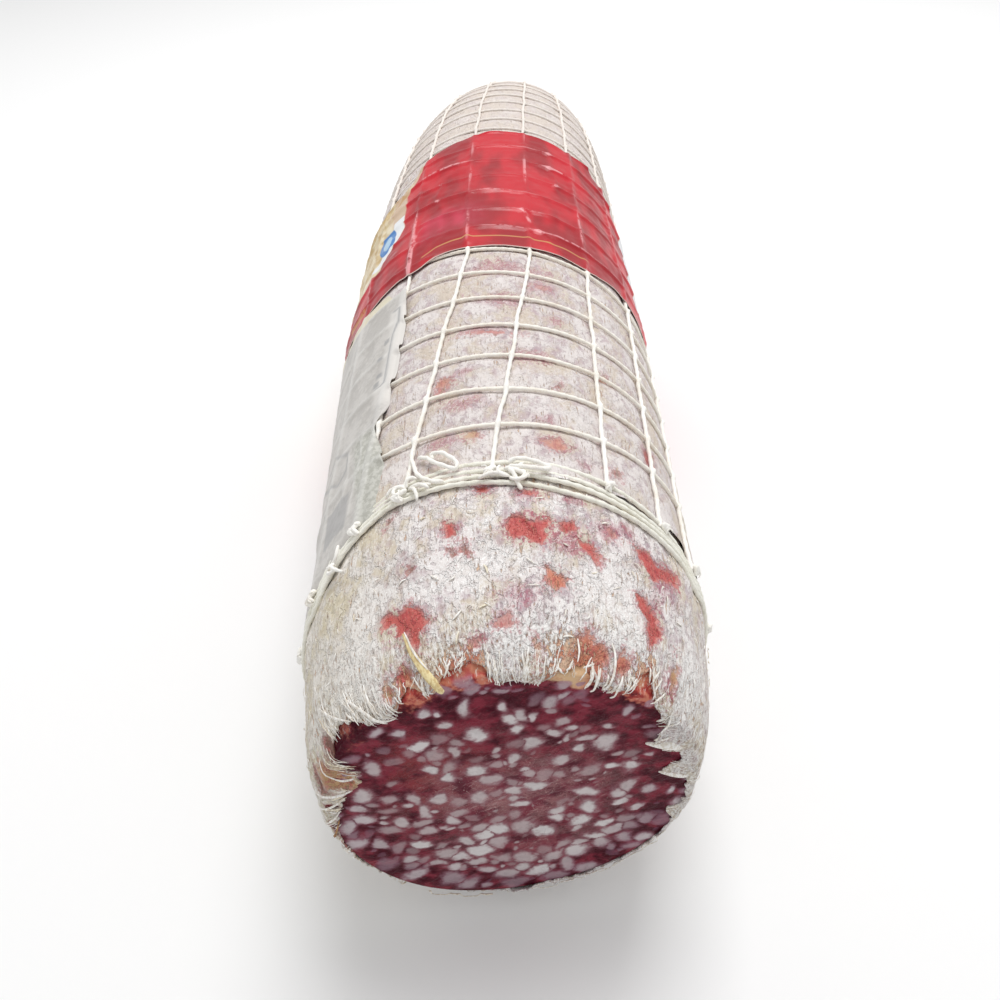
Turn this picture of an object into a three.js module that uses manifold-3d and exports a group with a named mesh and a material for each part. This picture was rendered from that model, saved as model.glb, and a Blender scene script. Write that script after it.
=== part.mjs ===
// A Milano salami with its near end cut off, lying on its side on a small flat strip.
// Millimetres, +Z up. The salami's long axis runs along Y, with the cut face towards -Y
// and the tied end towards +Y. Four pieces: the sausage in its mouldy casing, the
// elastic net round it, the red paper band over the net and the white side label.

import * as THREE from "three";
import { mergeVertices } from "three/addons/utils/BufferGeometryUtils.js";
import Module from "manifold-3d";

const wasm = await Module();
wasm.setup();

// Driving sizes. Places along the sausage count from the middle of its length: less than
// zero towards the cut, more than zero towards the tied end.
const cutPlace = -135;
const endPlace = 228.5;
const domeStart = 37.5;
const domePower = 4;
const settle = 0.8;

// The casing's radius at distances behind the cut, from the rim to the start of the dome.
const profile = [
  [0, 36.8],
  [3.8, 39],
  [9.6, 41],
  [19, 42.7],
  [29, 44.2],
  [38, 44.5],
  [50, 44.5],
  [82, 45.3],
  [110, 46.2],
  [139, 46.9],
  [172.5, 46.7],
];

// How the whole is bent out of round: the far end bows to +X, the net's rings lie a little
// askew, and the knife went through a few degrees off square.
const bowPerSquare = 0.000254;
const knifeTurn = 0.06;
const knifeLean = 0.09;
const knifeReach = 48;
const heelBulge = 2;
const heelAngle = THREE.MathUtils.degToRad(-150);

// The elastic net: evenly spaced lengthwise strings, which lean round the body towards the
// cut, and rings across them.
const strings = 17;
const firstString = THREE.MathUtils.degToRad(12.6);
const firstRing = 2.2;
const ringPitch = 12.8;
const firstFarRing = 99.6;
const farRingPitch = 11.2;
const nearRings = 7;
const coveredRings = 7;
const lastShownPlace = 150;
const hiddenRingRadii = [43, 38, 30, 19];
const stringHalfWidth = 0.95;
const ringHalfWidth = 0.7;
const stringHeight = 1.3;
const ringHeight = 1.1;
const netGap = 0.4;
const pillow = 0.7;

// How far the strings lean round the body, in degrees per millimetre. The four on top have
// slipped sideways, so the meshes between them are uneven.
const stringLean = 0.129;
const slippedLeans = { 0: 0.169, 1: 0.055, 2: 0.08, 16: 0.2 };

// The net's near end, where four rings are bunched into one band under a row of knots.
const bunchPlace = -89.9;
const bunchSag = 4;
const bunchSideSag = 7;
const bunchSkew = 1;
const bunchHalfWidth = 3.6;
const bunchStrings = 4;
const bunchHeight = 1.4;
const loopLift = 2;
const tieRadius = 12;

const labelGap = 0.45;
const labelThickness = 0.35;

const around = strings * 2;
const shoulderAround = around * 2;

function clamp01(value) {
  return Math.min(Math.max(value, 0), 1);
}

function smooth(value) {
  const t = clamp01(value);
  return t * t * (3 - 2 * t);
}

// Catmull-Rom through the profile, which gives the radius at a distance behind the cut.
const profileCurve = new THREE.SplineCurve(profile.map(([x, r]) => new THREE.Vector2(x, r)));

function profileRadius(distance) {
  const last = profile.length - 1;
  const index = profile.findIndex(([x], i) => i === last || distance < profile[i + 1][0]);
  if (index >= last) {
    return profile[last][1];
  }
  let low = index / last;
  let high = (index + 1) / last;
  for (let step = 0; step < 30; step += 1) {
    const middle = (low + high) / 2;
    if (profileCurve.getPoint(middle).x < distance) {
      low = middle;
    } else {
      high = middle;
    }
  }
  return profileCurve.getPoint(low).y;
}

// The radius of the casing at a place along the axis, closing in a blunt dome.
function radiusAt(place) {
  if (place <= domeStart) {
    return profileRadius(Math.max(place - cutPlace, 0));
  }
  const t = clamp01((place - domeStart) / (endPlace - domeStart));
  return profile.at(-1)[1] * Math.sqrt(1 - t ** domePower);
}

function domePlace(radius) {
  return domeStart + (endPlace - domeStart) * (1 - (radius / profile.at(-1)[1]) ** 2) ** (1 / domePower);
}

// How far a ring at a place is turned askew: its +X side lies this much farther.
function ringSkew(place) {
  const nearSide = THREE.MathUtils.mapLinear(place, -77, 0, 0.5, -3.2);
  return place < 0 ? nearSide : -3.2 * (1 - smooth(place / 70));
}

// The lean of a string, or of the line between two where the index is not whole.
function leanOf(index) {
  const wrapped = THREE.MathUtils.euclideanModulo(index, strings);
  const whole = Math.floor(wrapped);
  const leanAt = (string) => slippedLeans[string % strings] ?? stringLean;
  return THREE.MathUtils.lerp(leanAt(whole), leanAt(whole + 1), wrapped - whole);
}

// The angle of a string at a place; angles are from the top of the body towards +X.
function stringAngle(index, place) {
  const spacing = (Math.PI * 2) / strings;
  const lean = THREE.MathUtils.degToRad(leanOf(index));
  return firstString + index * spacing + lean * Math.min(place, 0);
}

// The cut end sags outwards a little at the lower left, where it was pressed flat.
function heel(angle) {
  return heelBulge * Math.exp(8 * (Math.cos(angle - heelAngle) - 1));
}

// A point above the casing by the height lift, with the bow, skew and cut applied.
function surfacePoint(place, angle, lift) {
  const step = 0.2;
  const before = Math.max(place - step, cutPlace);
  const after = Math.min(place + step, endPlace);
  const slope = (radiusAt(after) - radiusAt(before)) / (after - before);
  const stretch = Math.hypot(1, slope);
  const cutWeight = 1 - smooth((place - cutPlace) / knifeReach);
  const radius = radiusAt(place) + lift / stretch + heel(angle) * cutWeight;
  const x = radius * Math.sin(angle);
  const z = radius * Math.cos(angle);
  const along = place - (lift * slope) / stretch;
  const cutShift = (knifeTurn * x + knifeLean * z) * cutWeight;
  const bow = bowPerSquare * Math.max(place, 0) ** 2;
  const skewShift = ringSkew(place) * Math.sin(angle) * (1 - cutWeight);
  return new THREE.Vector3(x + bow, along + skewShift + cutShift, z);
}

// A closed mesh gathered triangle by triangle, then handed to manifold-3d.
class Shell {
  constructor() {
    this.points = [];
    this.faces = [];
  }

  point(vector) {
    this.points.push(vector.x, vector.y, vector.z);
    return this.points.length / 3 - 1;
  }

  quad(a, b, c, d) {
    this.faces.push(a, b, c, a, c, d);
  }

  // Rows of equal length that run round the body, joined into a band of quads.
  strip(row, next) {
    for (let i = 0; i < row.length; i += 1) {
      const j = (i + 1) % row.length;
      this.quad(row[i], row[j], next[j], next[i]);
    }
  }

  // A coarse row joined to one with twice as many points.
  refine(coarse, fine) {
    for (let i = 0; i < coarse.length; i += 1) {
      const j = (i + 1) % coarse.length;
      const middle = 2 * i + 1;
      const next = (2 * i + 2) % fine.length;
      this.faces.push(coarse[i], fine[2 * i], fine[middle]);
      this.faces.push(coarse[i], fine[middle], coarse[j]);
      this.faces.push(coarse[j], fine[middle], fine[next]);
    }
  }

  solid() {
    const mesh = new wasm.Mesh({
      numProp: 3,
      vertProperties: new Float32Array(this.points),
      triVerts: new Uint32Array(this.faces),
    });
    return new wasm.Manifold(mesh);
  }
}

function solidOf(geometry) {
  const bare = geometry.clone();
  bare.deleteAttribute("normal");
  bare.deleteAttribute("uv");
  const merged = mergeVertices(bare, 1e-4);
  return new wasm.Manifold(
    new wasm.Mesh({
      numProp: 3,
      vertProperties: new Float32Array(merged.attributes.position.array),
      triVerts: new Uint32Array(merged.index.array),
    }),
  );
}

function geometryOf(solid) {
  const mesh = solid.getMesh();
  const geometry = new THREE.BufferGeometry();
  geometry.setAttribute("position", new THREE.BufferAttribute(new Float32Array(mesh.vertProperties), 3));
  geometry.setIndex(new THREE.BufferAttribute(new Uint32Array(mesh.triVerts), 1));
  geometry.computeVertexNormals();
  return geometry;
}

// The half of space above the floor, as a box. The floor takes a shallow slice off the body.
const floorHeight = -(radiusAt(20) - settle);

function aboveFloor(solid, clearance = 0) {
  const size = 1000;
  const box = new THREE.BoxGeometry(size, size, size);
  box.translate(0, 0, floorHeight + clearance + size / 2);
  return solid.intersect(solidOf(box));
}

function largestPiece(solid) {
  return solid.decompose().sort((a, b) => b.volume() - a.volume())[0];
}

// The places of the net's rings: those near the cut, those past the label, and wider
// ones round the dome. Some places under the label keep the body round, without a ring.
const nearPlaces = Array.from({ length: nearRings }, (_, i) => firstRing - ringPitch * (nearRings - 1 - i));
const coveredPlaces = [3, coveredRings].map((count) => firstRing + ringPitch * count);
const shownFarPlaces = [];
for (let at = firstFarRing; at < lastShownPlace; at += farRingPitch) {
  shownFarPlaces.push(at);
}
const domePlaces = hiddenRingRadii.map(domePlace);
const tiePlace = domePlace(tieRadius - 1);

// How far the bunched band lies from a square ring, which sags towards the cut at the sides.
function bunchShift(angle) {
  const side = Math.sin(angle);
  return bunchSkew * side - bunchSag * side ** 2 - bunchSideSag * side ** 4;
}

// The frayed edge of the casing: how far behind the rim it stops, in uneven teeth.
function casingEdge(angle) {
  const left = 4 * Math.exp(-(((angle + 0.95) / 0.35) ** 2));
  const teeth = 0.5 * Math.sin(9 * angle + 1) + 0.4 * Math.sin(23 * angle) + 0.3 * Math.sin(31 * angle + 2);
  return 2.9 + left + teeth;
}

// The dents and folds of the bare casing between the cut and the net.
function casingFolds(place, angle) {
  const toBunch = bunchPlace + bunchShift(angle) - place;
  const fade = smooth((place - cutPlace - 4) / 12) * smooth((toBunch - 7) / 8);
  const streaks = Math.sin(14 * angle + 0.06 * place) + 0.8 * Math.sin(9 * angle - 0.09 * place + 2);
  return 0.28 * fade * streaks + 0.35 * fade * Math.sin(3 * angle + 0.15 * place);
}

// The sausage: pillows of casing between the strings, the bare front, the frayed casing
// edge with meat rolling over the rim, and the cut face, which is flat but for small lumps.
function makeSausage() {
  const shell = new Shell();
  const edgeStep = 0.5;
  const bunchSink = 0.35;
  const rimRound = 1.2;
  const bareDistances = [22.5, 15.5, 10.5, 8.2];

  const netRow = (place, raised) =>
    Array.from({ length: around }, (_, i) => {
      const angle = stringAngle(i / 2, place);
      const lift = raised && i % 2 === 1 ? pillow : 0;
      return shell.point(surfacePoint(place, angle, lift));
    });

  const frontRow = (placeOf, liftOf) =>
    Array.from({ length: shoulderAround }, (_, i) => {
      const angle = stringAngle(i / 4, bunchPlace);
      const place = placeOf(angle);
      return shell.point(surfacePoint(place, angle, liftOf(place, angle)));
    });

  const faceRow = (count, radius) =>
    Array.from({ length: count }, (_, i) => {
      const angle = stringAngle((i / count) * strings, bunchPlace);
      const reach = radius + heel(angle) * (radius / profile[0][1]);
      const x = reach * Math.sin(angle);
      const z = reach * Math.cos(angle);
      const lumps = 0.5 * Math.sin(x / 5 + 1) * Math.sin(z / 6) + 0.4 * Math.sin((x - z) / 9);
      const sink = radius > profile[0][1] - 2 ? 0 : lumps;
      return shell.point(new THREE.Vector3(x, cutPlace + knifeTurn * x + knifeLean * z + sink, z));
    });

  const pillowed = [...nearPlaces, ...shownFarPlaces];
  const places = [...nearPlaces, ...coveredPlaces, ...shownFarPlaces, ...domePlaces, tiePlace, domePlace(4)];
  const rows = [];
  places.forEach((place, i) => {
    rows.push(netRow(place, false));
    const next = places[i + 1];
    if (pillowed.includes(place) && next < lastShownPlace) {
      rows.push(netRow((place + next) / 2, true));
    }
  });
  rows.slice(0, -1).forEach((row, i) => shell.strip(row, rows[i + 1]));

  const pole = shell.point(surfacePoint(endPlace, 0, 0));
  const last = rows.at(-1);
  last.forEach((corner, i) => shell.faces.push(corner, last[(i + 1) % last.length], pole));

  const front = [
    frontRow(() => bunchPlace + 5, () => -bunchSink),
    frontRow((angle) => bunchPlace - 3 + bunchShift(angle) * 0.8, () => -bunchSink),
    frontRow((angle) => bunchPlace - 12 + bunchShift(angle) * 0.3, casingFolds),
    ...bareDistances.map((distance) => frontRow(() => cutPlace + distance, casingFolds)),
    frontRow((angle) => cutPlace + casingEdge(angle), () => 0),
    frontRow((angle) => cutPlace + casingEdge(angle) - 0.5, () => -edgeStep),
    frontRow(() => cutPlace + rimRound, () => -edgeStep),
    faceRow(shoulderAround, profile[0][1] - rimRound),
  ];
  shell.refine(rows[0], front[0]);
  front.slice(0, -1).forEach((row, i) => shell.strip(front[i + 1], row));

  const middle = faceRow(around, 24);
  const inner = faceRow(around, 11);
  const centre = shell.point(new THREE.Vector3(0, cutPlace, 0));
  const outer = front.at(-1);
  middle.forEach((corner, i) => {
    const j = (i + 1) % around;
    shell.faces.push(corner, outer[2 * i + 1], outer[2 * i]);
    shell.faces.push(corner, middle[j], outer[2 * i + 1]);
    shell.faces.push(middle[j], outer[(2 * i + 2) % shoulderAround], outer[2 * i + 1]);
    shell.faces.push(centre, inner[j], inner[i]);
  });
  shell.strip(inner, middle);

  return aboveFloor(shell.solid().add(casingCurl()));
}

// A shred of dry casing that curls up over the rim, left of the top.
function casingCurl() {
  const angle = THREE.MathUtils.degToRad(-21);
  const path = new THREE.CatmullRomCurve3([
    surfacePoint(cutPlace + 8, angle - 0.07, -0.4),
    surfacePoint(cutPlace + 4.5, angle - 0.02, 0.1),
    surfacePoint(cutPlace + 1.5, angle + 0.03, -0.1),
    surfacePoint(cutPlace + 0.5, angle + 0.08, -1.6),
  ]);
  const section = new THREE.Shape([
    new THREE.Vector2(-0.5, -1.2),
    new THREE.Vector2(0.6, -0.8),
    new THREE.Vector2(0.6, 0.8),
    new THREE.Vector2(-0.5, 1.2),
  ]);
  return solidOf(new THREE.ExtrudeGeometry(section, { steps: 6, extrudePath: path }));
}

// The woven part of the net. Each string is a ridge with a flat underside; ridges share
// their corners where they cross, so the whole is one lattice.
function makeLattice() {
  const shell = new Shell();
  const places = [
    { ring: false },
    ...nearPlaces.map((place) => ({ place, ring: true })),
    ...coveredPlaces.map((place) => ({ place, ring: false })),
    ...[...shownFarPlaces, ...domePlaces].map((place) => ({ place, ring: true })),
    { place: tiePlace, ring: false },
  ];

  const corner = (place, angle, sideways, along, height) => {
    const turned = angle + sideways / radiusAt(place);
    return shell.point(surfacePoint(place + along, turned, netGap + height));
  };

  const rows = places.map(({ place: square, ring }) =>
    Array.from({ length: strings }, (_, j) => {
      const place = square ?? bunchPlace + bunchShift(stringAngle(j, bunchPlace)) + bunchHalfWidth - 1;
      const angle = stringAngle(j, place);
      const half = stringHalfWidth * clamp01(radiusAt(place) / 24);
      const slope = Math.hypot(1, (radiusAt(Math.min(place + 0.5, endPlace)) - radiusAt(place)) / 0.5);
      const along = ring ? ringHalfWidth / slope : 0;
      const near = [corner(place, angle, -half, -along, 0), corner(place, angle, half, -along, 0)];
      const far = ring
        ? [corner(place, angle, -half, along, 0), corner(place, angle, half, along, 0)]
        : near;
      const top = corner(place, angle, 0, 0, stringHeight);
      const between = stringAngle(j + 0.5, place);
      const bar = ring && [
        corner(place, between, 0, -along, 0),
        corner(place, between, 0, along, 0),
        corner(place, between, 0, 0, ringHeight),
      ];
      return { near, far, top, bar };
    }),
  );

  rows.forEach((row, i) => {
    row.forEach((knot, j) => {
      const above = rows[i + 1]?.[j];
      if (above) {
        shell.quad(knot.far[0], knot.top, above.top, above.near[0]);
        shell.quad(knot.top, knot.far[1], above.near[1], above.top);
        shell.quad(knot.far[1], knot.far[0], above.near[0], above.near[1]);
      }
      if (knot.bar) {
        const next = row[(j + 1) % strings];
        const [near, far, top] = knot.bar;
        shell.quad(knot.near[1], near, top, knot.top);
        shell.quad(knot.far[1], knot.top, top, far);
        shell.quad(near, next.near[0], next.top, top);
        shell.quad(far, top, next.top, next.far[0]);
        shell.quad(knot.near[1], knot.far[1], far, near);
        shell.quad(near, far, next.far[0], next.near[0]);
        shell.quad(knot.near[0], knot.far[0], knot.far[1], knot.near[1]);
      }
    });
  });
  rows[0].forEach(({ near, top }) => shell.faces.push(near[0], near[1], top));
  rows.at(-1).forEach(({ far, top }) => shell.faces.push(far[1], far[0], top));
  return shell.solid();
}

// The bunched band: parallel strings with grooves between them, on one flat underside.
function makeBunch() {
  const shell = new Shell();
  const pitch = (bunchHalfWidth * 2) / bunchStrings;
  const section = [[-bunchHalfWidth, 0]];
  for (let i = 0; i < bunchStrings; i += 1) {
    section.push([-bunchHalfWidth + pitch * (i + 0.5), bunchHeight]);
    section.push([-bunchHalfWidth + pitch * (i + 1), i < bunchStrings - 1 ? 0.9 : 0]);
  }
  const rows = section.map(([along, height]) =>
    Array.from({ length: around }, (_, i) => {
      const angle = stringAngle(i / 2, bunchPlace);
      const place = bunchPlace + bunchShift(angle) + along;
      return shell.point(surfacePoint(place, angle, netGap + height));
    }),
  );
  rows.forEach((row, i) => shell.strip(row, rows[(i + 1) % rows.length]));
  return shell.solid();
}

// The loops of string that two knots near the top trail: millimetres along and sideways.
const looseLoops = {
  0: [[1, 0], [3, 2.2], [3.2, 6], [2.2, 8.8], [0.8, 8.4], [0.6, 4.6], [0, 0.5]],
  16: [[3.4, 0], [6.4, 1.8], [5.6, 4.8], [3, 8.6], [0.6, 9.2], [2, 5], [1.6, 0.5]],
};

// A knot where a string turns back over the bunched band.
function makeKnot(index) {
  const angle = stringAngle(index, bunchPlace);
  const place = bunchPlace + bunchShift(angle);
  const knot = new THREE.OctahedronGeometry(1, 0);
  knot.scale(2.2 + 0.3 * Math.sin(index * 2.3), 4.4, 0.95);
  knot.rotateY(angle);
  const centre = surfacePoint(place, angle, netGap + bunchHeight - 0.1);
  knot.translate(centre.x, centre.y, centre.z);
  let solid = solidOf(knot);
  if (looseLoops[index]) {
    const path = new THREE.CatmullRomCurve3(
      looseLoops[index].map(([along, sideways]) =>
        surfacePoint(place + along, angle + sideways / radiusAt(place), loopLift),
      ),
    );
    const section = new THREE.Shape(new THREE.EllipseCurve(0, 0, 0.7, 0.7).getPoints(3).slice(0, 3));
    solid = solid.add(solidOf(new THREE.ExtrudeGeometry(section, { steps: 7, extrudePath: path })));
  }
  return solid;
}

// The tied end: the strings are gathered over the pole under a knot of string.
function makeTie() {
  const pole = surfacePoint(endPlace, 0, 0);
  const outline = [
    new THREE.Vector2(0, 0.5),
    new THREE.Vector2(tieRadius * 0.5, -0.2),
    new THREE.Vector2(tieRadius * 0.8, -1.2),
    new THREE.Vector2(tieRadius, -2.3),
    new THREE.Vector2(tieRadius + 0.6, -0.8),
    new THREE.Vector2(4.5, 2.6),
    new THREE.Vector2(3.6, 6),
    new THREE.Vector2(5.6, 9.5),
    new THREE.Vector2(0, 13.5),
  ];
  const tie = new THREE.LatheGeometry(outline, 12);
  tie.translate(pole.x, pole.y, pole.z);
  return solidOf(tie);
}

function makeNet() {
  let net = makeLattice().add(makeBunch());
  for (let index = 0; index < strings; index += 1) {
    net = net.add(makeKnot(index));
  }
  net = net.add(makeTie());
  return largestPiece(aboveFloor(net));
}

// A paper skin over the net between two edges. Its columns stand over the net's strings
// and halfway between them.
function makeSheet(nearEdge, farEdge, firstColumn, columns, steps, lift) {
  const shell = new Shell();
  const grid = [0, labelThickness].map((rise) =>
    Array.from({ length: steps + 1 }, (_, i) =>
      Array.from({ length: columns + 1 }, (_, j) => {
        const angle = stringAngle((firstColumn + j) / 2, 0);
        const place = THREE.MathUtils.lerp(nearEdge(angle), farEdge(angle), i / steps);
        return shell.point(surfacePoint(place, angle, lift + rise));
      }),
    ),
  );
  const [inside, outside] = grid;
  for (let i = 0; i < steps; i += 1) {
    for (let j = 0; j < columns; j += 1) {
      shell.quad(outside[i][j], outside[i][j + 1], outside[i + 1][j + 1], outside[i + 1][j]);
      shell.quad(inside[i][j], inside[i + 1][j], inside[i + 1][j + 1], inside[i][j + 1]);
    }
    shell.quad(inside[i][0], outside[i][0], outside[i + 1][0], inside[i + 1][0]);
    shell.quad(inside[i][columns], inside[i + 1][columns], outside[i + 1][columns], outside[i][columns]);
  }
  for (let j = 0; j < columns; j += 1) {
    shell.quad(inside[0][j], inside[0][j + 1], outside[0][j + 1], outside[0][j]);
    shell.quad(inside[steps][j], outside[steps][j], outside[steps][j + 1], inside[steps][j + 1]);
  }
  return shell.solid();
}

// The red band: a little askew at its near edge, and drawn in down both sides at its far
// edge. It stops on both sides of the strip that the salami lies on.
function makeBand() {
  const nearEdge = (angle) => 1.6 + 6 * Math.sin(angle);
  const farEdge = (angle) => 91 - 25 * smooth((-0.35 - angle) / 0.44) - 18 * smooth((angle - 0.79) / 0.52);
  const sheet = makeSheet(nearEdge, farEdge, -16, 30, 2, netGap + stringHeight + labelGap);
  return aboveFloor(sheet, 0.8);
}

// The white side label: a sticky film from just beside the top down the -X side.
function makeSideLabel() {
  return makeSheet(() => -85, () => -7, -11, 7, 4, netGap + stringHeight + labelGap);
}

const salami = new THREE.Group();
const pieces = [
  ["sausage", makeSausage(), { color: 0xb5aaa6, roughness: 0.85, metalness: 0 }],
  ["net", makeNet(), { color: 0xe6e2d3, roughness: 0.8, metalness: 0 }],
  ["label_band", makeBand(), { color: 0xa3121f, roughness: 0.35, metalness: 0 }],
  ["side_label", makeSideLabel(), { color: 0xd9dcdd, roughness: 0.4, metalness: 0 }],
];
for (const [name, solid, finish] of pieces) {
  const mesh = new THREE.Mesh(geometryOf(solid), new THREE.MeshStandardMaterial(finish));
  mesh.name = name;
  salami.add(mesh);
}

// The origin is the middle of the underside of the box round the whole.
const box = new THREE.Box3().setFromObject(salami);
const middle = box.getCenter(new THREE.Vector3());
salami.position.set(-middle.x, -middle.y, -floorHeight);
salami.updateMatrixWorld(true);

export default salami;
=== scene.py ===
"""The looks of a cut Milano salami in its net, with a red paper band and a film label."""

import bpy
import numpy as np
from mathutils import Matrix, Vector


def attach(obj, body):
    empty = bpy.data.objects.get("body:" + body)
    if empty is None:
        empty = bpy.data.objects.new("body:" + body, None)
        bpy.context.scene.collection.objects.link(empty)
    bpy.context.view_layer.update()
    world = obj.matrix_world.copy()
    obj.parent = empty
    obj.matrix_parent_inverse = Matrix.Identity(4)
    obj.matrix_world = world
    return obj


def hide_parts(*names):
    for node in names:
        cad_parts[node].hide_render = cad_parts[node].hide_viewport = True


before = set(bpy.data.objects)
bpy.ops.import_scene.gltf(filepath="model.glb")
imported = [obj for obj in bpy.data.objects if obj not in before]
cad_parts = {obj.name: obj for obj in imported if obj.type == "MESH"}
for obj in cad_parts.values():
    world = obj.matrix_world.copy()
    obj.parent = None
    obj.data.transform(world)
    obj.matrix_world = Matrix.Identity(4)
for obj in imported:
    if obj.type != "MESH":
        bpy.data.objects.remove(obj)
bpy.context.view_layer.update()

# The meat. Coarse lean pork and fat are packed tight, cured to one firm body and cut off
# square with a knife. Places are millimetres along the sausage from its middle, less than
# zero towards the cut; angles go round it from the top towards +X; lifts stand off the skin.
cut_place = -135.0
end_place = 228.5
dome_start = 37.5
full_radius = 46.7
rim_radius = 36.8
knife_turn = 0.06
knife_lean = 0.09
bow_rate = 0.000254
frame_shift = np.array([-0.968, -51.4712, 46.0652])
floor_height = -46.0652
profile = [
    (0, 36.8), (3.8, 39), (9.6, 41), (19, 42.7), (29, 44.2), (38, 44.5), (50, 44.5), (82, 45.3),
    (110, 46.2), (139, 46.9), (172.5, 46.7),
]

# The slant of the cut fades over cut_blend. Rings on the net are skewed to one side, from
# near_skew at skew_start to far_skew at the middle, and square again skew_fade beyond it.
cut_blend = 48
near_skew = 0.5
far_skew = -3.2
skew_start = -77
skew_fade = 70


def smooth(value):
    """Eases from 0 to 1 as 3t² - 2t³, where t is the value held between 0 and 1."""
    t = np.clip(value, 0, 1)
    return t * t * (3 - 2 * t)


def bell(first, second=0.0):
    """A soft bump, 1 where both values are 0: e to the power of -(first² + second²)."""
    return np.exp(-(first**2) - second**2)


def half_turn(angle):
    """The same angle, brought between minus half a turn and half a turn."""
    return np.arctan2(np.sin(angle), np.cos(angle))


def curve_through(points, steps):
    """A curve through points. Each span is the cubic that starts and ends with half the
    difference between the neighbours of its end points as its slope."""
    points = np.asarray(points, float)
    last = len(points) - 1
    spans = np.clip(np.arange(last)[:, None] + np.arange(-1, 3), 0, last)
    before, start, end, after = np.moveaxis(points[spans], 1, 0)[:, :, None, :]
    slope_in = (end - before) / 2
    slope_out = (after - start) / 2
    t = np.linspace(0, 1, steps, endpoint=False)[None, :, None]
    curve = start + slope_in * t
    curve = curve + (3 * end - 3 * start - 2 * slope_in - slope_out) * t**2
    curve = curve + (2 * start - 2 * end + slope_in + slope_out) * t**3
    return np.vstack([curve.reshape(-1, points.shape[1]), points[-1]])


profile_distance, profile_radius = curve_through(profile, 40).T


def radius_at(place):
    """The skin's radius: read off the profile, and past it the blunt dome R·√(1 - t⁴)."""
    t = np.clip((place - dome_start) / (end_place - dome_start), 0, 1)
    dome = full_radius * np.sqrt(np.maximum(1 - t**4, 0))
    near = np.interp(place - cut_place, profile_distance, profile_radius)
    return np.where(place <= dome_start, near, dome)


def heel(angle):
    """The cut end sags outwards at the lower left, as a bell over the angle."""
    return 2 * np.exp(8 * (np.cos(angle + np.radians(150)) - 1))


def body_point(place, angle, lift):
    """A point over the skin: the profile turned about the axis and moved out along its
    normal by the lift, then bowed to +X, skewed like the net and slanted like the cut."""
    before = np.maximum(place - 0.2, cut_place)
    after = np.minimum(place + 0.2, end_place)
    slope = (radius_at(after) - radius_at(before)) / (after - before)
    stretch = np.hypot(1, slope)
    cut_weight = 1 - smooth((place - cut_place) / cut_blend)
    radius = radius_at(place) + lift / stretch + heel(angle) * cut_weight
    x = radius * np.sin(angle)
    z = radius * np.cos(angle)
    to_middle = near_skew + (far_skew - near_skew) * (1 - place / skew_start)
    beyond = far_skew * (1 - smooth(place / skew_fade))
    skew = np.where(place < 0, to_middle, beyond) * np.sin(angle) * (1 - cut_weight)
    cut_shift = (knife_turn * x + knife_lean * z) * cut_weight
    y = place - lift * slope / stretch + skew + cut_shift
    bow = bow_rate * np.maximum(place, 0) ** 2
    return np.stack(np.broadcast_arrays(x + bow, y, z), -1)


def unevenness(points, size, seed):
    """Smooth random heights from -1 to 1: hashed numbers at the corners of a lattice with
    cells of the given size, blended with eased weights."""
    scaled = np.asarray(points) / np.asarray(size) + 500
    cell = np.floor(scaled).astype(np.int64)
    part = scaled - cell
    part = part * part * (3 - 2 * part)
    total = np.zeros(cell.shape[:-1])
    for corner in np.ndindex(2, 2, 2):
        key = (cell + corner) @ np.array([73856093, 19349663, 83492791]) + seed * 1013904223
        key = ((key ^ (key >> 13)) & 0x7FFFFFFF) * 1274126177
        height = ((key >> 12) & 0xFFFF) / 32767.5 - 1
        total += height * np.prod(np.where(corner, part, 1 - part), axis=-1)
    return total


def level(first, second=None):
    """Points of a plane, or of one line, at which to read the unevenness."""
    return np.stack([first, first * 0 if second is None else second, first * 0], -1)


def grid_faces(rows, columns, closed=True, looped=False):
    """Quads between neighbouring rows and columns. In a closed row the last column meets
    the first, and in a loop the last row does."""
    row = np.arange(rows if looped else rows - 1)[:, None]
    column = np.arange(columns if closed else columns - 1)[None, :]
    here = row * columns
    after = (row + 1) % rows * columns
    beside = (column + 1) % columns
    corners = [here + column, here + beside, after + beside, after + column]
    return np.stack(corners, -1).reshape(-1, 4)


def fan_faces(first, count, pole, inwards):
    """Triangles between a closed row and a pole. Those of a first row run inwards."""
    column = np.arange(count)
    here = first + column
    beside = first + (column + 1) % count
    ends = (beside, here) if inwards else (here, beside)
    return np.stack([*ends, np.full(count, pole)], -1)


def make_piece(name, points, faces, finish, node, values=None):
    """Sets a smooth mesh in the frame from points in millimetres, with nothing below the
    floor. Values are numbers or colours, one for each point."""
    points = np.array(points, float).reshape(-1, 3)
    points[:, 2] = np.maximum(points[:, 2], floor_height)
    mesh = bpy.data.meshes.new(name)
    mesh.vertices.add(len(points))
    mesh.vertices.foreach_set("co", ((points + frame_shift) / 1000).ravel())
    corners = np.concatenate([face.ravel() for face in faces])
    lengths = np.concatenate([np.full(len(face), face.shape[1]) for face in faces])
    mesh.loops.add(len(corners))
    mesh.loops.foreach_set("vertex_index", corners)
    mesh.polygons.add(len(lengths))
    mesh.polygons.foreach_set("loop_start", np.cumsum(lengths) - lengths)
    mesh.polygons.foreach_set("use_smooth", np.ones(len(lengths), bool))
    mesh.update(calc_edges=True)
    for key, value in (values or {}).items():
        value = np.asarray(value, float)
        kind, field = ("FLOAT_COLOR", "color") if value.shape[-1:] == (4,) else ("FLOAT", "value")
        mesh.attributes.new(key, kind, "POINT").data.foreach_set(field, value.ravel())
    mesh.validate()
    mesh.materials.append(finish.material)
    piece = bpy.data.objects.new(name, mesh)
    bpy.context.scene.collection.objects.link(piece)
    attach(piece, "root")
    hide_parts(node)


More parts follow.
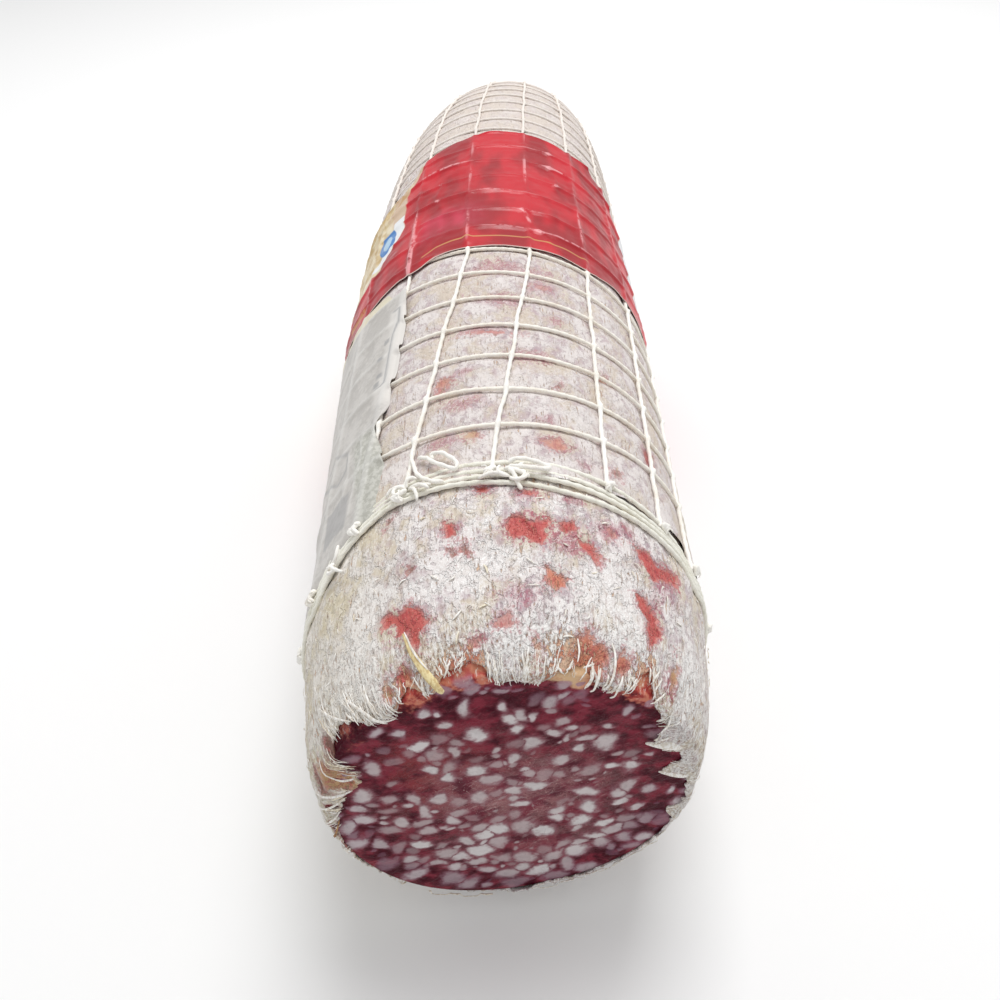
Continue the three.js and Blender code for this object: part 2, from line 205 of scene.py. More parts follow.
def paint(red, green, blue):
    """A colour as the eye reads it, from 0 to 255, made linear for the shader."""
    value = np.array([red, green, blue]) / 255
    linear = np.where(value <= 0.04045, value / 12.92, ((value + 0.055) / 1.055) ** 2.4)
    return (*linear.tolist(), 1.0)


class Tone:
    """A number or colour that varies over a surface. Arithmetic on tones adds Math nodes."""

    def __init__(self, finish, socket):
        self.finish = finish
        self.socket = socket

    def maths(self, operation, *values):
        return self.finish.node("ShaderNodeMath", {"operation": operation}, dict(enumerate(values)))

    def __add__(self, other):
        return self.maths("ADD", self, other)

    __radd__ = __add__

    def __sub__(self, other):
        return self.maths("SUBTRACT", self, other)

    def __rsub__(self, other):
        return self.maths("SUBTRACT", other, self)

    def __mul__(self, other):
        return self.maths("MULTIPLY", self, other)

    __rmul__ = __mul__

    def __abs__(self):
        return self.maths("ABSOLUTE", self)

    def between(self, low, high):
        """Eases from 0 where the tone is low to 1 where it is high."""
        values = {"Value": self, "From Min": low, "From Max": high}
        return self.finish.node("ShaderNodeMapRange", {"interpolation_type": "SMOOTHSTEP"}, values)


class Finish:
    """A surface finish: a shader, and the nodes that vary it over the piece."""

    def __init__(self, name, uniform):
        self.material = bpy.data.materials.new(name)
        self.material.use_nodes = True
        self.tree = self.material.node_tree
        self.shader = self.tree.nodes["Principled BSDF"]
        for key, value in uniform.items():
            self.shader.inputs[key].default_value = value
        place = self.node("ShaderNodeTexCoord", output="Object")
        self.millimetres = self.node(
            "ShaderNodeVectorMath", {"operation": "SCALE"}, {0: place, "Scale": 1000.0}
        )

    def feed(self, socket, value):
        if isinstance(value, Tone):
            self.tree.links.new(value.socket, socket)
        else:
            socket.default_value = value

    def node(self, kind, settings=None, values=None, output=0):
        """Adds a node, sets it up, feeds its sockets and gives one of its outputs."""
        made = self.tree.nodes.new(kind)
        for key, value in (settings or {}).items():
            setattr(made, key, value)
        for key, value in (values or {}).items():
            self.feed(made.inputs[key], value)
        return Tone(self, made.outputs[output])

    def attribute(self, name, output="Fac"):
        return self.node("ShaderNodeAttribute", {"attribute_name": name}, output=output)

    def attributes(self, *names):
        return [self.attribute(name) for name in names]

    def grain(self, size, detail=2.0, rough=0.5, seed=0.0, turn=0.0):
        """Cloudy noise from 0 to 1 with grains of a size in millimetres, or one for each
        axis, turned about the sausage's axis."""
        sizes = np.broadcast_to(size, 3)
        steps = tuple((1 / sizes).tolist())
        values = {"Vector": self.millimetres, "Angle": turn}
        turned = self.node("ShaderNodeVectorRotate", {"rotation_type": "Y_AXIS"}, values)
        scaled = self.node("ShaderNodeVectorMath", {"operation": "MULTIPLY"}, {0: turned, 1: steps})
        settings = {"noise_dimensions": "4D"}
        values = {"Vector": scaled, "W": seed, "Scale": 1.0, "Detail": detail, "Roughness": rough}
        return self.node("ShaderNodeTexNoise", settings, values)

    def blend(self, first, second, factor):
        """Goes from the first colour to the second as the factor goes from 0 to 1. Colours
        are tones, or plain ones as the eye reads them."""
        pair = [colour if isinstance(colour, Tone) else paint(*colour) for colour in (first, second)]
        return self.node("ShaderNodeMix", {"data_type": "RGBA"}, {0: factor, 6: pair[0], 7: pair[1]}, 2)

    def layers(self, colour, *layers):
        """Lays more colours over the first in turn, each where its mask goes to 1."""
        for layer, mask in layers:
            colour = self.blend(colour, layer, mask)
        return colour

    def complete(self, colour, height=None, roughness=None):
        """Feeds the shader its colour, its relief in millimetres and its roughness."""
        self.feed(self.shader.inputs["Base Color"], colour)
        if roughness is not None:
            self.feed(self.shader.inputs["Roughness"], roughness)
        if height is not None:
            bump = self.node("ShaderNodeBump", None, {"Height": height, "Distance": 0.001})
            self.feed(self.shader.inputs["Normal"], bump)
        return self


# The larger fat grains of the cut face: middle to +X and up, and half sizes, millimetres.
fat_grains = [
    (-15.6, 28.2, 1.4, 1.5), (-12.8, 28.1, 1.3, 1.2), (-11.3, 24.1, 1.5, 1.6), (-7.7, 28.6, 1.2, 2.4),
    (-1.2, 27.4, 1.4, 1.5), (-0.3, 24.0, 1.4, 2.1), (1.7, 24.8, 1.3, 2.0), (1.2, 20.9, 1.6, 1.8),
    (-5.9, 20.4, 1.9, 2.6), (-10.3, 15.0, 1.1, 2.1), (-20.1, 22.5, 1.3, 1.6), (-23.8, 23.8, 1.7, 1.4),
    (8.2, 19.1, 1.8, 1.5), (18.0, 14.3, 2.4, 2.9), (9.3, 10.0, 2.6, 1.6), (1.0, 12.5, 1.6, 1.7),
    (-15.6, 10.2, 1.8, 1.8), (-25.8, 12.6, 1.4, 2.9), (-28.8, 4.4, 2.7, 2.5), (-30.1, -0.2, 1.8, 1.9),
    (-19.0, 1.5, 1.5, 2.6), (-17.2, -2.8, 1.6, 2.8), (-7.1, 0.4, 2.4, 2.4), (4.8, 2.4, 2.9, 1.5),
    (14.8, -1.4, 2.8, 1.9), (15.7, -6.5, 2.2, 2.6), (23.0, 5.8, 1.7, 1.8), (27.6, -2.2, 1.3, 1.4),
    (32.1, -3.2, 1.3, 1.3), (25.3, -8.1, 2.1, 1.3), (8.9, -10.0, 2.1, 2.1), (20.9, -15.9, 2.7, 2.0),
    (23.5, -19.9, 2.2, 2.2), (27.9, -20.5, 2.3, 2.0), (18.8, -21.6, 2.5, 2.9), (13.7, -23.8, 3.0, 2.9),
    (11.9, -28.7, 1.7, 3.0), (-6.6, -10.9, 2.5, 2.3), (-12.2, -6.9, 1.7, 1.8), (-17.0, -10.3, 2.6, 1.5),
    (-22.3, -6.5, 1.7, 1.8), (-27.2, -14.3, 2.0, 1.9), (-10.2, -15.4, 2.3, 2.1),
    (-3.2, -17.1, 2.6, 2.2), (-14.7, -20.1, 2.9, 2.5), (-22.1, -20.3, 2.1, 1.8),
    (-12.9, -26.2, 2.4, 1.5), (-6.2, -28.0, 2.2, 1.7), (-7.7, 35.7, 2.0, 1.9), (9.6, 32.4, 2.0, 1.0),
    (21.3, 23.9, 1.1, 1.8),
]

# The flat of the face reaches to its radius, and its relief is gone at its edge.
face_radius = 35.4
face_edge = 35.6


def small_grains(count, seed):
    """Fat crumbs between the large grains: random places on the disc, in clumps, denser and
    larger towards the bottom, none on top of another. Each has two half sizes, a brightness
    and a tilt."""
    rng = np.random.default_rng(seed)
    radius = face_radius * np.sqrt(rng.random(count))
    angle = rng.random(count) * 2 * np.pi
    x = radius * np.sin(angle)
    z = radius * np.cos(angle)
    clump = unevenness(level(x, z), 5.5, 17)
    wanted = rng.random(count) < 0.46 - 0.015 * z + 0.65 * clump
    size = 0.62 + (1.75 - 0.02 * z) * rng.random(count) ** 1.3
    flat = 0.66 + 0.44 * rng.random(count)
    bright = 0.2 * size + 0.7 * rng.random(count) ** 1.3 - 0.2 * smooth((radius - 28) / 6)
    tilt = rng.normal(0.35, 0.4, count)
    crumbs = np.stack([x, z, size * 1.2, size * flat, bright, tilt], -1)[wanted]
    crumbs = crumbs[np.argsort(-crumbs[:, 2])]
    kept = []
    taken = np.array([(*grain[:2], max(grain[2:])) for grain in fat_grains])
    for crumb in crumbs:
        gap = np.hypot(taken[:, 0] - crumb[0], taken[:, 1] - crumb[1])
        if np.all(gap > 0.62 * (taken[:, 2] + crumb[2])):
            kept.append(crumb)
            taken = np.vstack([taken, crumb[:3]])
    return kept


def fat_field(x, z, grains):
    """How deep a point lies in the nearest grain, 1 at its middle and 0 at its edge, and how
    bright that grain is. Each grain is an ellipse with an edge that noise pushes about, and
    where two meet, a thin seam of lean stays between them."""
    spot = level(x, z)
    x = x + 0.8 * unevenness(spot, 2.8, 11) + 0.13 * unevenness(spot, 0.9, 12)
    z = z + 0.8 * unevenness(spot, 2.8, 13) + 0.13 * unevenness(spot, 0.9, 14)
    best = np.full(x.shape, -3.0)
    second = np.full(x.shape, -3.0)
    shine = np.zeros(x.shape)
    for middle_x, middle_z, half_x, half_z, bright, tilt in grains:
        along = (x - middle_x) * np.cos(tilt) + (z - middle_z) * np.sin(tilt)
        up = (z - middle_z) * np.cos(tilt) - (x - middle_x) * np.sin(tilt)
        depth = 1 - np.hypot(along / half_x, up / half_z)
        shine = np.where(depth > best, bright, shine)
        second = np.maximum(second, np.minimum(best, depth))
        best = np.maximum(best, depth)
    seam = np.where(second > 0, (best - second) * 2, 9)
    return np.minimum(best, seam), shine


corner_radius = 1.2
corner_slope = np.arctan(0.58)
corner_place = cut_place + corner_radius * (1 - np.sin(corner_slope))


def edge_point(reach, angle, lift):
    """A point near the cut's corner, where reach is the way back from where the corner
    starts. Behind it the surface follows the body; ahead it turns on a circle of 1.2 mm to
    the plane of the cut and runs in across the face."""
    turn = np.clip(-reach / corner_radius, 0, np.pi / 2 - corner_slope)
    inset = np.maximum(-reach - corner_radius * (np.pi / 2 - corner_slope), 0)
    turned = corner_slope + turn
    start = radius_at(corner_place) + heel(angle)
    radius = start + corner_radius * (np.cos(turned) - np.cos(corner_slope)) - inset
    radius = radius + lift * np.cos(turned)
    x = radius * np.sin(angle)
    z = radius * np.cos(angle)
    depth = corner_place - corner_radius * (np.sin(turned) - np.sin(corner_slope))
    depth = depth - lift * np.sin(turned)
    ahead = np.stack([x, depth + knife_turn * x + knife_lean * z, z], -1)
    behind = body_point(corner_place + np.maximum(reach, 0), angle, lift)
    return np.where((reach > 0)[..., None], behind, ahead)


# Where the rim is bare and dried, as degrees round, how dry, where 0 is fresh and 1 a crust,
# and how red that crust is.
dry_stops = [
    (-180, 0.1, 0.0), (-110, 0.1, 0.6), (-82, 0.2, 0.9), (-70, 0.25, 0.9), (-60, 0.25, 0.9),
    (-46, 0.2, 0.8), (-36, 0.2, 0.8), (-31, 0.7, 0.9), (-25, 0.8, 1.0), (-22, 0.3, 0.9),
    (-18, 0.8, 0.8), (-7, 0.9, 0.8), (-4, 0.3, 0.6), (4, 0.3, 0.5), (10, 0.4, 0.4), (13, 1.0, 0.1),
    (18, 1.0, 0.25), (22, 0.9, 0.5), (25, 0.4, 0.6), (34, 0.3, 0.8), (37, 0.9, 0.8), (43, 0.9, 0.9),
    (47, 0.3, 0.6), (56, 0.2, 0.4), (90, 0.1, 0.0), (180, 0.1, 0.0),
]


def dryness(angle):
    """How dry the bare rim is and how red its crust, read between the stops."""
    stops, dry_at, red_at = np.transpose(dry_stops)
    degrees = np.degrees(half_turn(angle))
    return np.interp(degrees, stops, dry_at), np.interp(degrees, stops, red_at)


def make_meat(finish):
    """Rows run from the face's middle to its rim, over the rounded corner and back under
    the casing; columns run round. Fat stands a little proud of the lean."""
    columns = 640
    angle = np.linspace(0, 2 * np.pi, columns, endpoint=False)[None, :]
    reach = (face_radius * np.linspace(0.004, 1, 112) ** 0.85)[:, None]
    spread = reach + heel(angle) * reach / rim_radius
    x = spread * np.sin(angle)
    z = spread * np.cos(angle)
    waves = -0.25 * np.sin(x / 5 + 1) * np.sin(z / 6) + 0.25 * unevenness(level(x, z), 6, 22)
    sink = (waves + 0.3) * smooth((face_edge - reach) / 6)
    face = np.stack([x, cut_place + knife_turn * x + knife_lean * z + sink, z], -1)

    back = np.concatenate([np.linspace(-1.5, 0, 9), np.linspace(0.25, 6, 14), np.linspace(7, 17, 6)])
    back = back[:, None] + np.zeros_like(angle)
    behind = smooth((back + 1.4) / 1.6)
    rim = edge_point(back, angle, -0.62 * behind)
    dents = unevenness(rim, 2.4, 23) + 0.5 * unevenness(rim, 0.9, 24)
    rim = edge_point(back, angle, -0.62 * behind + 0.14 * dents * behind)
    points = np.concatenate([face, rim])

    rng = np.random.default_rng(4)
    large = [(*grain, rng.uniform(0.7, 1.0), rng.normal(0.12, 0.2)) for grain in fat_grains]
    small = small_grains(count=1500, seed=5)
    fat, bright = fat_field(points[..., 0], points[..., 2], [*large, *small])
    from_middle = np.hypot(points[..., 0], points[..., 2])
    proud = 0.14 * smooth((fat + 0.1) / 0.4) + 0.1 * unevenness(points, 1.1, 21)
    proud = proud * smooth((face_edge - from_middle) / 2)
    points[: len(face), :, 1] -= proud[: len(face)]
    dry_at, red_at = dryness(angle)
    crust = dry_at * smooth((reach - 32.8 + 1.2 * unevenness(face, 2.4, 26)) / 2.6)
    dry = np.concatenate([crust, dry_at + np.zeros_like(back)])
    cloud = 3 * unevenness(points, 7, 25)
    middle_x = points[..., 0] + cloud
    middle_z = points[..., 2] - cloud
    smears = [bell((middle_x - 1) / 16, (middle_z - 1) / 11)]
    smears.append(0.5 * bell((middle_x - 4) / 15, (middle_z + 18) / 6))
    values = {
        "fat": fat,
        "bright": bright,
        "dry": dry,
        "raw": red_at + np.zeros_like(dry),
        "smear": np.maximum(*smears),
        "ruddy": bell((middle_x + 16) / 10, (middle_z - 8) / 11),
        "outer": smooth((from_middle + cloud - 25) / 9),
        "ahead": np.concatenate([np.ones(face.shape[:2]), smooth((0.8 - back) / 2.4)]),
    }
    values = {key: np.append(value.ravel(), value[0, 0]) for key, value in values.items()}
    rows = len(points)
    faces = [grid_faces(rows, columns), fan_faces(0, columns, rows * columns, True)]
    points = np.vstack([points.reshape(-1, 3), points[0].mean(0)])
    make_piece("meat", points, faces, finish, "sausage", values)


def meat_finish():
    """Dark cured lean in coarse lumps, ruddy to the left and under a thin smear of fat in the
    middle, with fine pink threads; milky fat grains that shine through at their edges, with a
    thin line of painted shade just outside each; and a rim that is red to orange-brown where
    the outer layer has dried."""
    finish = Finish("cured meat", {"Specular IOR Level": 0.06})
    fat, bright, dry, raw, smear, ruddy, outer, ahead = finish.attributes(
        "fat", "bright", "dry", "raw", "smear", "ruddy", "outer", "ahead"
    )
    lumps = finish.grain((4.4, 4.4, 3.4), 3, 0.55)
    fine = finish.grain((1.0, 1.0, 0.8), 2, 0.5, 3.0)
    strands = finish.grain((3.0, 3.0, 0.8), 4, 0.66, 9.0, turn=0.5)
    hairs = finish.grain((2.4, 2.4, 0.4), 3, 0.6, 12.0, turn=0.42)
    cloudy = finish.grain(6.0, 3, 0.55, 7.0)
    knotted = finish.grain((2.2, 2.2, 1.5), 4, 0.66, 16.0, turn=0.4)
    crumbs = finish.grain(0.42, 2, 0.6, 8.0)
    combed = finish.grain((0.5, 5.0, 0.5), 3, 0.64, 6.0)

    haze = smear * (cloudy * 0.7 + strands * 0.3).between(0.42, 0.58)
    threads = abs(knotted - 0.5).between(0.035, 0.0) * cloudy.between(0.4, 0.56)
    glow = (fat + (fine - 0.5) * 0.7).between(-0.45, 0.05) * bright
    lean = finish.layers(
        finish.blend((66, 4, 24), (130, 44, 60), lumps.between(0.36, 0.64)),
        ((146, 54, 56), ruddy * cloudy.between(0.42, 0.56) * 0.7),
        ((118, 62, 74), smear * 0.6),
        ((172, 124, 124), haze * 0.8),
        ((68, 4, 24), outer * lumps.between(0.6, 0.42) * 0.8),
        ((58, 8, 24), fine.between(0.42, 0.32) * 0.35),
        ((202, 154, 158), threads * (0.06 + 0.45 * smear) * (1 - 0.6 * outer)),
        ((236, 204, 196), crumbs.between(0.62, 0.7) * (0.03 + 0.6 * smear)),
        ((140, 80, 92), glow * 0.32),
    )
    core = (fat + (fine - 0.5) * 0.6 + (knotted - 0.5) * 0.8).between(0.0, 0.6) * bright
    crisp = (fat + (fine - 0.5) * 0.5).between(-0.22, 0.36) * (0.3 + 0.7 * bright)
    # Painted shade: a thin darker line just outside the edge of each fat grain, where the raised grains
    # would shade the lean.
    seam = (abs(fat + 0.14) + (fine - 0.5) * 0.3).between(0.12, 0.0)
    milky = finish.layers(
        finish.blend((150, 106, 114), (214, 208, 208), core),
        ((140, 100, 128), outer * (1 - 0.7 * bright) * 0.7),
        # the painted shade round each grain
        ((112, 72, 84), seam * 0.3),
    )
    web = strands.between(0.57, 0.65) * (0.06 + 0.6 * smear)
    web = web + hairs.between(0.61, 0.69) * (0.06 + 0.6 * smear)
    face = finish.layers(lean, (milky, crisp), ((222, 202, 200), web * 0.55))

    burnt = finish.blend((176, 70, 66), (206, 128, 106), (fine * 0.5 + lumps * 0.5).between(0.42, 0.58))
    crust = finish.layers(
        finish.blend((204, 148, 114), (216, 182, 144), lumps.between(0.42, 0.58)),
        (burnt, (raw * 1.6 + ahead * 0.4 - 0.7 + (cloudy - 0.5) * 2.0).between(0.0, 0.7)),
        ((172, 136, 150), (fat + 0.15).between(0.0, 0.35) * ahead * 0.85),
        ((244, 236, 224), combed.between(0.54, 0.64) * (0.75 - 0.6 * ahead)),
    )
    cover = dry * (1.7 - 0.7 * ahead) + (lumps - 0.5) * 2.2 + (fine - 0.5) * 1.2
    colour = finish.blend(face, crust, cover.between(0.15, 1.0) * dry.between(0.04, 0.3))
    height = fine * 0.2 + crisp * 0.08 + strands * 0.08 + threads * 0.05
    return finish.complete(colour, height, 0.34 - 0.06 * crisp + 0.2 * dry)


make_meat(meat_finish())

# The casing. A thin natural skin, dried on and dusted with pale mould, which wears through
# to red meat in spots. At the cut it ends in a frayed edge; under the net it is pillowed.
strings = 17
first_string = np.radians(12.6)
first_ring = 2.2
ring_pitch = 12.8
bunch_place = -89.9
fringe_radius = 38
front_radius = 43.5
bunch_radius = 44.5

# Where the frayed edge stops, as degrees round and the way back from the cut's corner. Less
# than zero is folded over the corner onto the face.
edge_stops = [
    (-180, -0.8), (-170, -0.2), (-156, 0.1), (-140, 0.1), (-126, -0.3), (-116, -0.8), (-108, -1.3),
    (-102, -1.9), (-96, -2.6), (-91, -3.3), (-84, -4.6), (-78, -5.6), (-72, -7.2), (-68, -6.2),
    (-65, -3.4), (-63, -1.4), (-60, 1.0), (-56, 2.6), (-52, 2.2), (-48, 1.2), (-44, -0.2), (-40, -1.4),
    (-36, -2.2), (-33, -1.8), (-31, -0.4), (-28, 0.6), (-25.5, 0.4), (-23.5, -1.0), (-20, -1.2),
    (-18, 0.6), (-14, 1.7), (-9, 1.6), (-6, 0.4), (-4, -1.4), (-1, -2.4), (4, -2.8), (8, -2.2),
    (10, -1.4), (13, -0.3), (17, 0.6), (21, 0.4), (24, -0.8), (26, -1.8), (29, -2.2), (33, -1.8),
    (35.5, -0.6), (37, 1.8), (39, 2.8), (41.5, 2.4), (44, 0.2), (47, -1.8), (52, -2.2), (57, -3.2),
    (60, -5.2), (62, -7.4), (64, -5.8), (69, -5.4), (76, -3.6), (80, -6.0), (82, -7.8), (84, -5.0),
    (90, -2.8), (95, -2.2), (100, -1.8), (105, -3.4), (107, -4.0), (110, -2.8), (114, -1.4),
    (127, -1.0), (143, -0.7), (155, -1.0), (161, -1.5), (168, -1.9), (174, -1.5), (180, -0.8),
]

# Tears in the mould, as a kind and an outline of places and degrees.
torn_spots = [
    ("red", [(-102.8, 2), (-102.2, 5), (-103.6, 7), (-102.6, 11.5), (-108.2, 11), (-110.8, 10),
        (-108.9, 6), (-108, 1.5), (-105, 1.2)]),
    ("red", [(-103.6, 13.5), (-103, 18.5), (-105.8, 18.5), (-106.6, 15)]),
    ("red", [(-107.6, 18.5), (-108, 22), (-111.2, 24.5), (-113, 24), (-111, 21.5), (-109.6, 19.5)]),
    ("red", [(-104.8, 35.5), (-105.2, 40), (-106.3, 43.5), (-105.6, 52), (-109.4, 51.5), (-110, 46),
        (-112, 42), (-109.2, 38)]),
    ("red", [(-116.9, 34.5), (-117.1, 38), (-119.3, 42.5), (-123.5, 44.5), (-127.9, 40), (-125, 38.6),
        (-121.8, 39.6), (-119.8, 35.8)]),
    ("orange", [(-115.3, 9.5), (-117.5, 15.2), (-119.9, 15.4), (-121, 13), (-119.6, 9.8)]),
    ("red", [(-121.6, -33), (-118.6, -32.2), (-119.8, -28), (-118.7, -24), (-120.9, -21),
        (-123.6, -19.6), (-126, -21.2), (-128.4, -22.4), (-127, -24.6), (-124, -26), (-124.2, -28.5),
        (-122, -29.4)]),
    ("red", [(-101.7, -14.4), (-102.3, -11.6), (-106.5, -11.6), (-105.6, -14.4)]),
    ("faint", [(-125.8, -2.4), (-125.8, 1.4), (-128, 1.4), (-128.5, -2.4)]),
    ("brown", [(-108.8, -14.6), (-111.6, -12.8), (-111, -11.8), (-109.8, -12.4)]),
    ("brown", [(-109.2, -10.9), (-111.2, -8.8), (-110.6, -8.2), (-108.8, -9.4)]),
    ("orange", [(-79.8, 10.6), (-77.8, 16), (-80.4, 19), (-82.5, 15)]),
    ("red", [(-130.6, -30.6), (-130.2, -27.6), (-132.4, -25.2), (-134.6, -25.4), (-134.6, -30.2)]),
    ("orange", [(-129.8, 21), (-129.6, 25), (-131.2, 27.4), (-133.2, 26.6), (-133.4, 22)]),
]

# Spots worn through the mould: place, degrees, half length, half width, turn and kind.
worn_spots = [
    (-104.2, 29, 1.0, 1.2, 0, "faint"), (-127.2, 0, 0.9, 1.2, 0, "faint"),
    (-95.5, 7, 1.0, 1.5, 0, "red"), (-83.8, 33, 1.1, 1.6, 40, "brown"), (-93.2, -5, 1.2, 1.6, 0, "red"),
    (-111.2, -24, 0.9, 0.7, 0, "brown"), (-95.2, -31, 1.2, 0.4, 20, "brown"),
    (-130, -8, 0.8, 1.2, 0, "faint"), (-129.6, 50.3, 2.2, 1.0, 10, "tan"),
    (-132.2, 31.6, 2.0, 1.4, 0, "orange"), (-132.4, 7.4, 1.5, 0.5, 0, "peach"),
    (-131.6, 20.6, 3.6, 2.2, 0, "orange"), (-133.8, 24.4, 1.8, 1.7, 0, "orange"),
    (-137.0, -71.5, 4.6, 4.0, 0, "tan"), (-140.6, -70.5, 1.7, 2.0, 0, "cream"),
    (-133.8, -77.5, 3.4, 1.5, 30, "brown"), (-134.4, -61.5, 3.6, 2.4, 0, "brown"),
    (-136.6, -65.4, 2.4, 0.7, -20, "brown"), (-136.8, -87, 1.8, 1.6, 0, "brown"),
    (-136, -98, 1.6, 2.6, 0, "brown"), (-135.2, -112, 1.4, 4.0, 0, "brown"),
    (-133.2, -33.8, 1.8, 0.9, 0, "tan"), (-76.8, -7, 1.6, 1.5, 0, "tan"),
    (-68.2, 50, 2.9, 1.7, 20, "red"), (-56.6, -15.5, 1.5, 2.0, 30, "orange"),
    (-58.8, -17, 1.2, 0.7, 0, "red"), (-39.2, -2, 0.9, 4.2, 0, "red"),
    (-16.5, 15.5, 1.2, 1.6, 0, "faint"), (-59, 18, 1.0, 0.8, 0, "brown"), (-48, 35, 1.2, 1.0, 0, "tan"),
]

# Where meat flushes through a thin skin: place, degrees, half length and half width.
flushes = [
    (-122, 4.5, 4.0, 5.5), (-110, 17, 3.0, 4.0), (-105.5, 6, 4.5, 6.5), (-104, 27, 4.0, 4.0),
    (-101, 34, 3.0, 3.5), (-108, 45, 3.5, 6.0), (-114, 46, 4.0, 4.0), (-122, 42, 5.5, 3.0),
    (-96.5, 17, 2.4, 4.0), (-96.5, 6, 2.4, 3.4), (-93.5, -4, 2.6, 3.4), (-122.5, -25, 4.6, 6.0),
    (-104, -13, 2.6, 2.4), (-129.5, -7, 1.6, 2.4), (-126.8, 0, 2.0, 2.6), (-131.5, 49, 3.0, 3.0),
    (-65.5, -9, 4.2, 5.4), (-71.5, 13, 2.2, 4.2), (-80, 14, 3.0, 5.4), (-85, 24, 2.6, 3.2),
    (-77.2, -16, 3.0, 4.6), (-54, -9.5, 1.8, 2.4), (-37.2, -3, 2.8, 7.0), (-31, 19, 2.6, 2.4),
    (-57, -16, 2.6, 3.0), (-68, 49, 4.0, 3.0), (-16.5, 15.5, 4.0, 4.6), (-24, 2, 4.0, 7.0),
    (-8, 4, 4.0, 14.0), (-48, 10, 3.0, 6.0),
]

# Where the mould lies thick and white: place, degrees, half length and half width.
snowy_spots = [
    (-119, 27, 7.0, 6.5), (-117, -11, 5.0, 9.0), (-127, 33, 5.0, 6.0), (-126, -44, 8.0, 9.0),
    (-98.5, 12, 2.2, 3.6), (-113, 0, 3.0, 7.0), (-130, 5, 4.0, 6.0), (-128, 58, 6.0, 8.0),
    (-104, -4, 3.0, 3.6), (-70, 22, 4.0, 5.0), (-60, 4, 4.0, 6.0), (-42, -12, 4.0, 6.0),
    (-88, 8, 3.0, 9.0),
]
spot_colours = {
    "red": paint(200, 94, 88),
    "orange": paint(208, 132, 106),
    "faint": paint(204, 150, 144),
    "brown": paint(132, 92, 80),
    "tan": paint(196, 156, 112),
    "peach": paint(232, 200, 168),
    "cream": paint(226, 218, 190),
}

# Cracks in the dry casing, as places and degrees along each.
cracks = [
    [(-94, 2), (-94.6, 3.6), (-95.2, 5)], [(-112.8, 3), (-113.2, -2)],
    [(-116.8, 3), (-115.2, 10), (-117.2, 15), (-121.2, 16)], [(-125, 12), (-127.8, 9), (-127.8, 5)],
    [(-119, 18), (-122.2, 18)], [(-112, -3), (-113, 0)], [(-98, 24), (-99, 27)],
    [(-113, 33), (-115, 35), (-115.4, 38)],
]


def edge_reach(angle):
    """Where the frayed edge ends: read between the stops, with ragged teeth cut into it."""
    base = np.interp(np.degrees(half_turn(angle)), *np.transpose(edge_stops))
    round_rim = level(np.sin(angle), np.cos(angle)) * fringe_radius
    teeth = 0.6 * unevenness(round_rim, 0.8, 31) + 0.9 * unevenness(round_rim, 2.2, 32)
    return base + teeth * np.clip(0.35 + 0.2 * np.abs(base + 1), 0, 1)


def string_angle(index, place):
    """A lengthwise string's angle: even spacing, plus a lean in degrees per millimetre
    towards the cut. The four on top have slipped."""
    leans = np.full(strings, 0.129)
    leans[[0, 1, 2, 16]] = [0.169, 0.055, 0.08, 0.2]
    wrapped = np.mod(index, strings)
    low = np.floor(wrapped).astype(int)
    part = wrapped - low
    lean = leans[low % strings] * (1 - part) + leans[(low + 1) % strings] * part
    return first_string + index * 2 * np.pi / strings + np.radians(lean) * np.minimum(place, 0)


def index_at(angle, place):
    """The string index at an angle, found between the strings at that place."""
    index = (angle - first_string) * strings / (2 * np.pi)
    for _ in range(6):
        gap = half_turn(angle - string_angle(index, place))
        index = index + gap * strings / (2 * np.pi) * 0.8
    return index


ring_places = [first_ring + ring_pitch * step for step in range(-6, 8)]
ring_places += [99.6, 110.8, 122.0, 133.2, 144.4, 155.4, 166.4, 177.2, 187.6, 197.2, 206, 213.6, 219.6, 224]


def string_gap(place, angle, radius):
    """How far the nearest string is, in millimetres at a radius."""
    index = index_at(angle, place)
    return np.abs(index - np.round(index)) * 2 * np.pi / strings * radius


def ring_gap(place):
    """How far the nearest ring is."""
    rings = np.array(ring_places)
    nearest = np.clip(np.searchsorted(rings, place), 1, len(rings) - 1)
    return np.minimum(np.abs(place - rings[nearest - 1]), np.abs(place - rings[nearest]))


def pillow(place, angle):
    """How far the casing swells between the strings and rings that bind it: the product of
    one rounded step away from the nearest string and one away from the nearest ring."""
    to_string = string_gap(place, angle, radius_at(place))
    return (1 - np.exp(-to_string / 2.2)) * (1 - np.exp(-ring_gap(place) / 1.8))


def bunch_shift(angle):
    """How far the bunched rings lie from a square ring: they sag towards the cut at the
    sides."""
    side = np.sin(angle)
    return side - 4 * side**2 - 7 * side**4


def unrolled(place, angle, radius=front_radius):
    """Places and angles in millimetres on the skin, unrolled at a radius."""
    return np.stack([place, angle * radius], -1)


def unrolled_stops(stops, radius=front_radius):
    """Stops of places and degrees, in millimetres on the unrolled skin."""
    places, degrees = np.transpose(stops)
    return unrolled(places, np.radians(degrees), radius)


def line_distance(here, corners):
    """The distance to the nearest of the straight spans from corner to corner."""
    nearest = np.full(here.shape[:-1], 99.0)
    for start, end in zip(corners, corners[1:]):
        run = end - start
        t = np.clip((here - start) @ run / (run @ run), 0, 1)
        nearest = np.minimum(nearest, np.linalg.norm(here - start - t[..., None] * run, axis=-1))
    return nearest


def spot_distance(place, around, outline):
    """The distance to an outline on the unrolled skin, more than zero inside."""
    corners = unrolled_stops([*outline, outline[0]])
    inside = np.zeros(place.shape, bool)
    for start, end in zip(corners, corners[1:]):
        run = end - start
        crosses = (start[1] > around) != (end[1] > around)
        inside ^= crosses & (place < start[0] + (around - start[1]) * run[0] / (run[1] + 1e-9))
    nearest = line_distance(np.stack([place, around], -1), corners)
    return np.where(inside, nearest, -nearest)


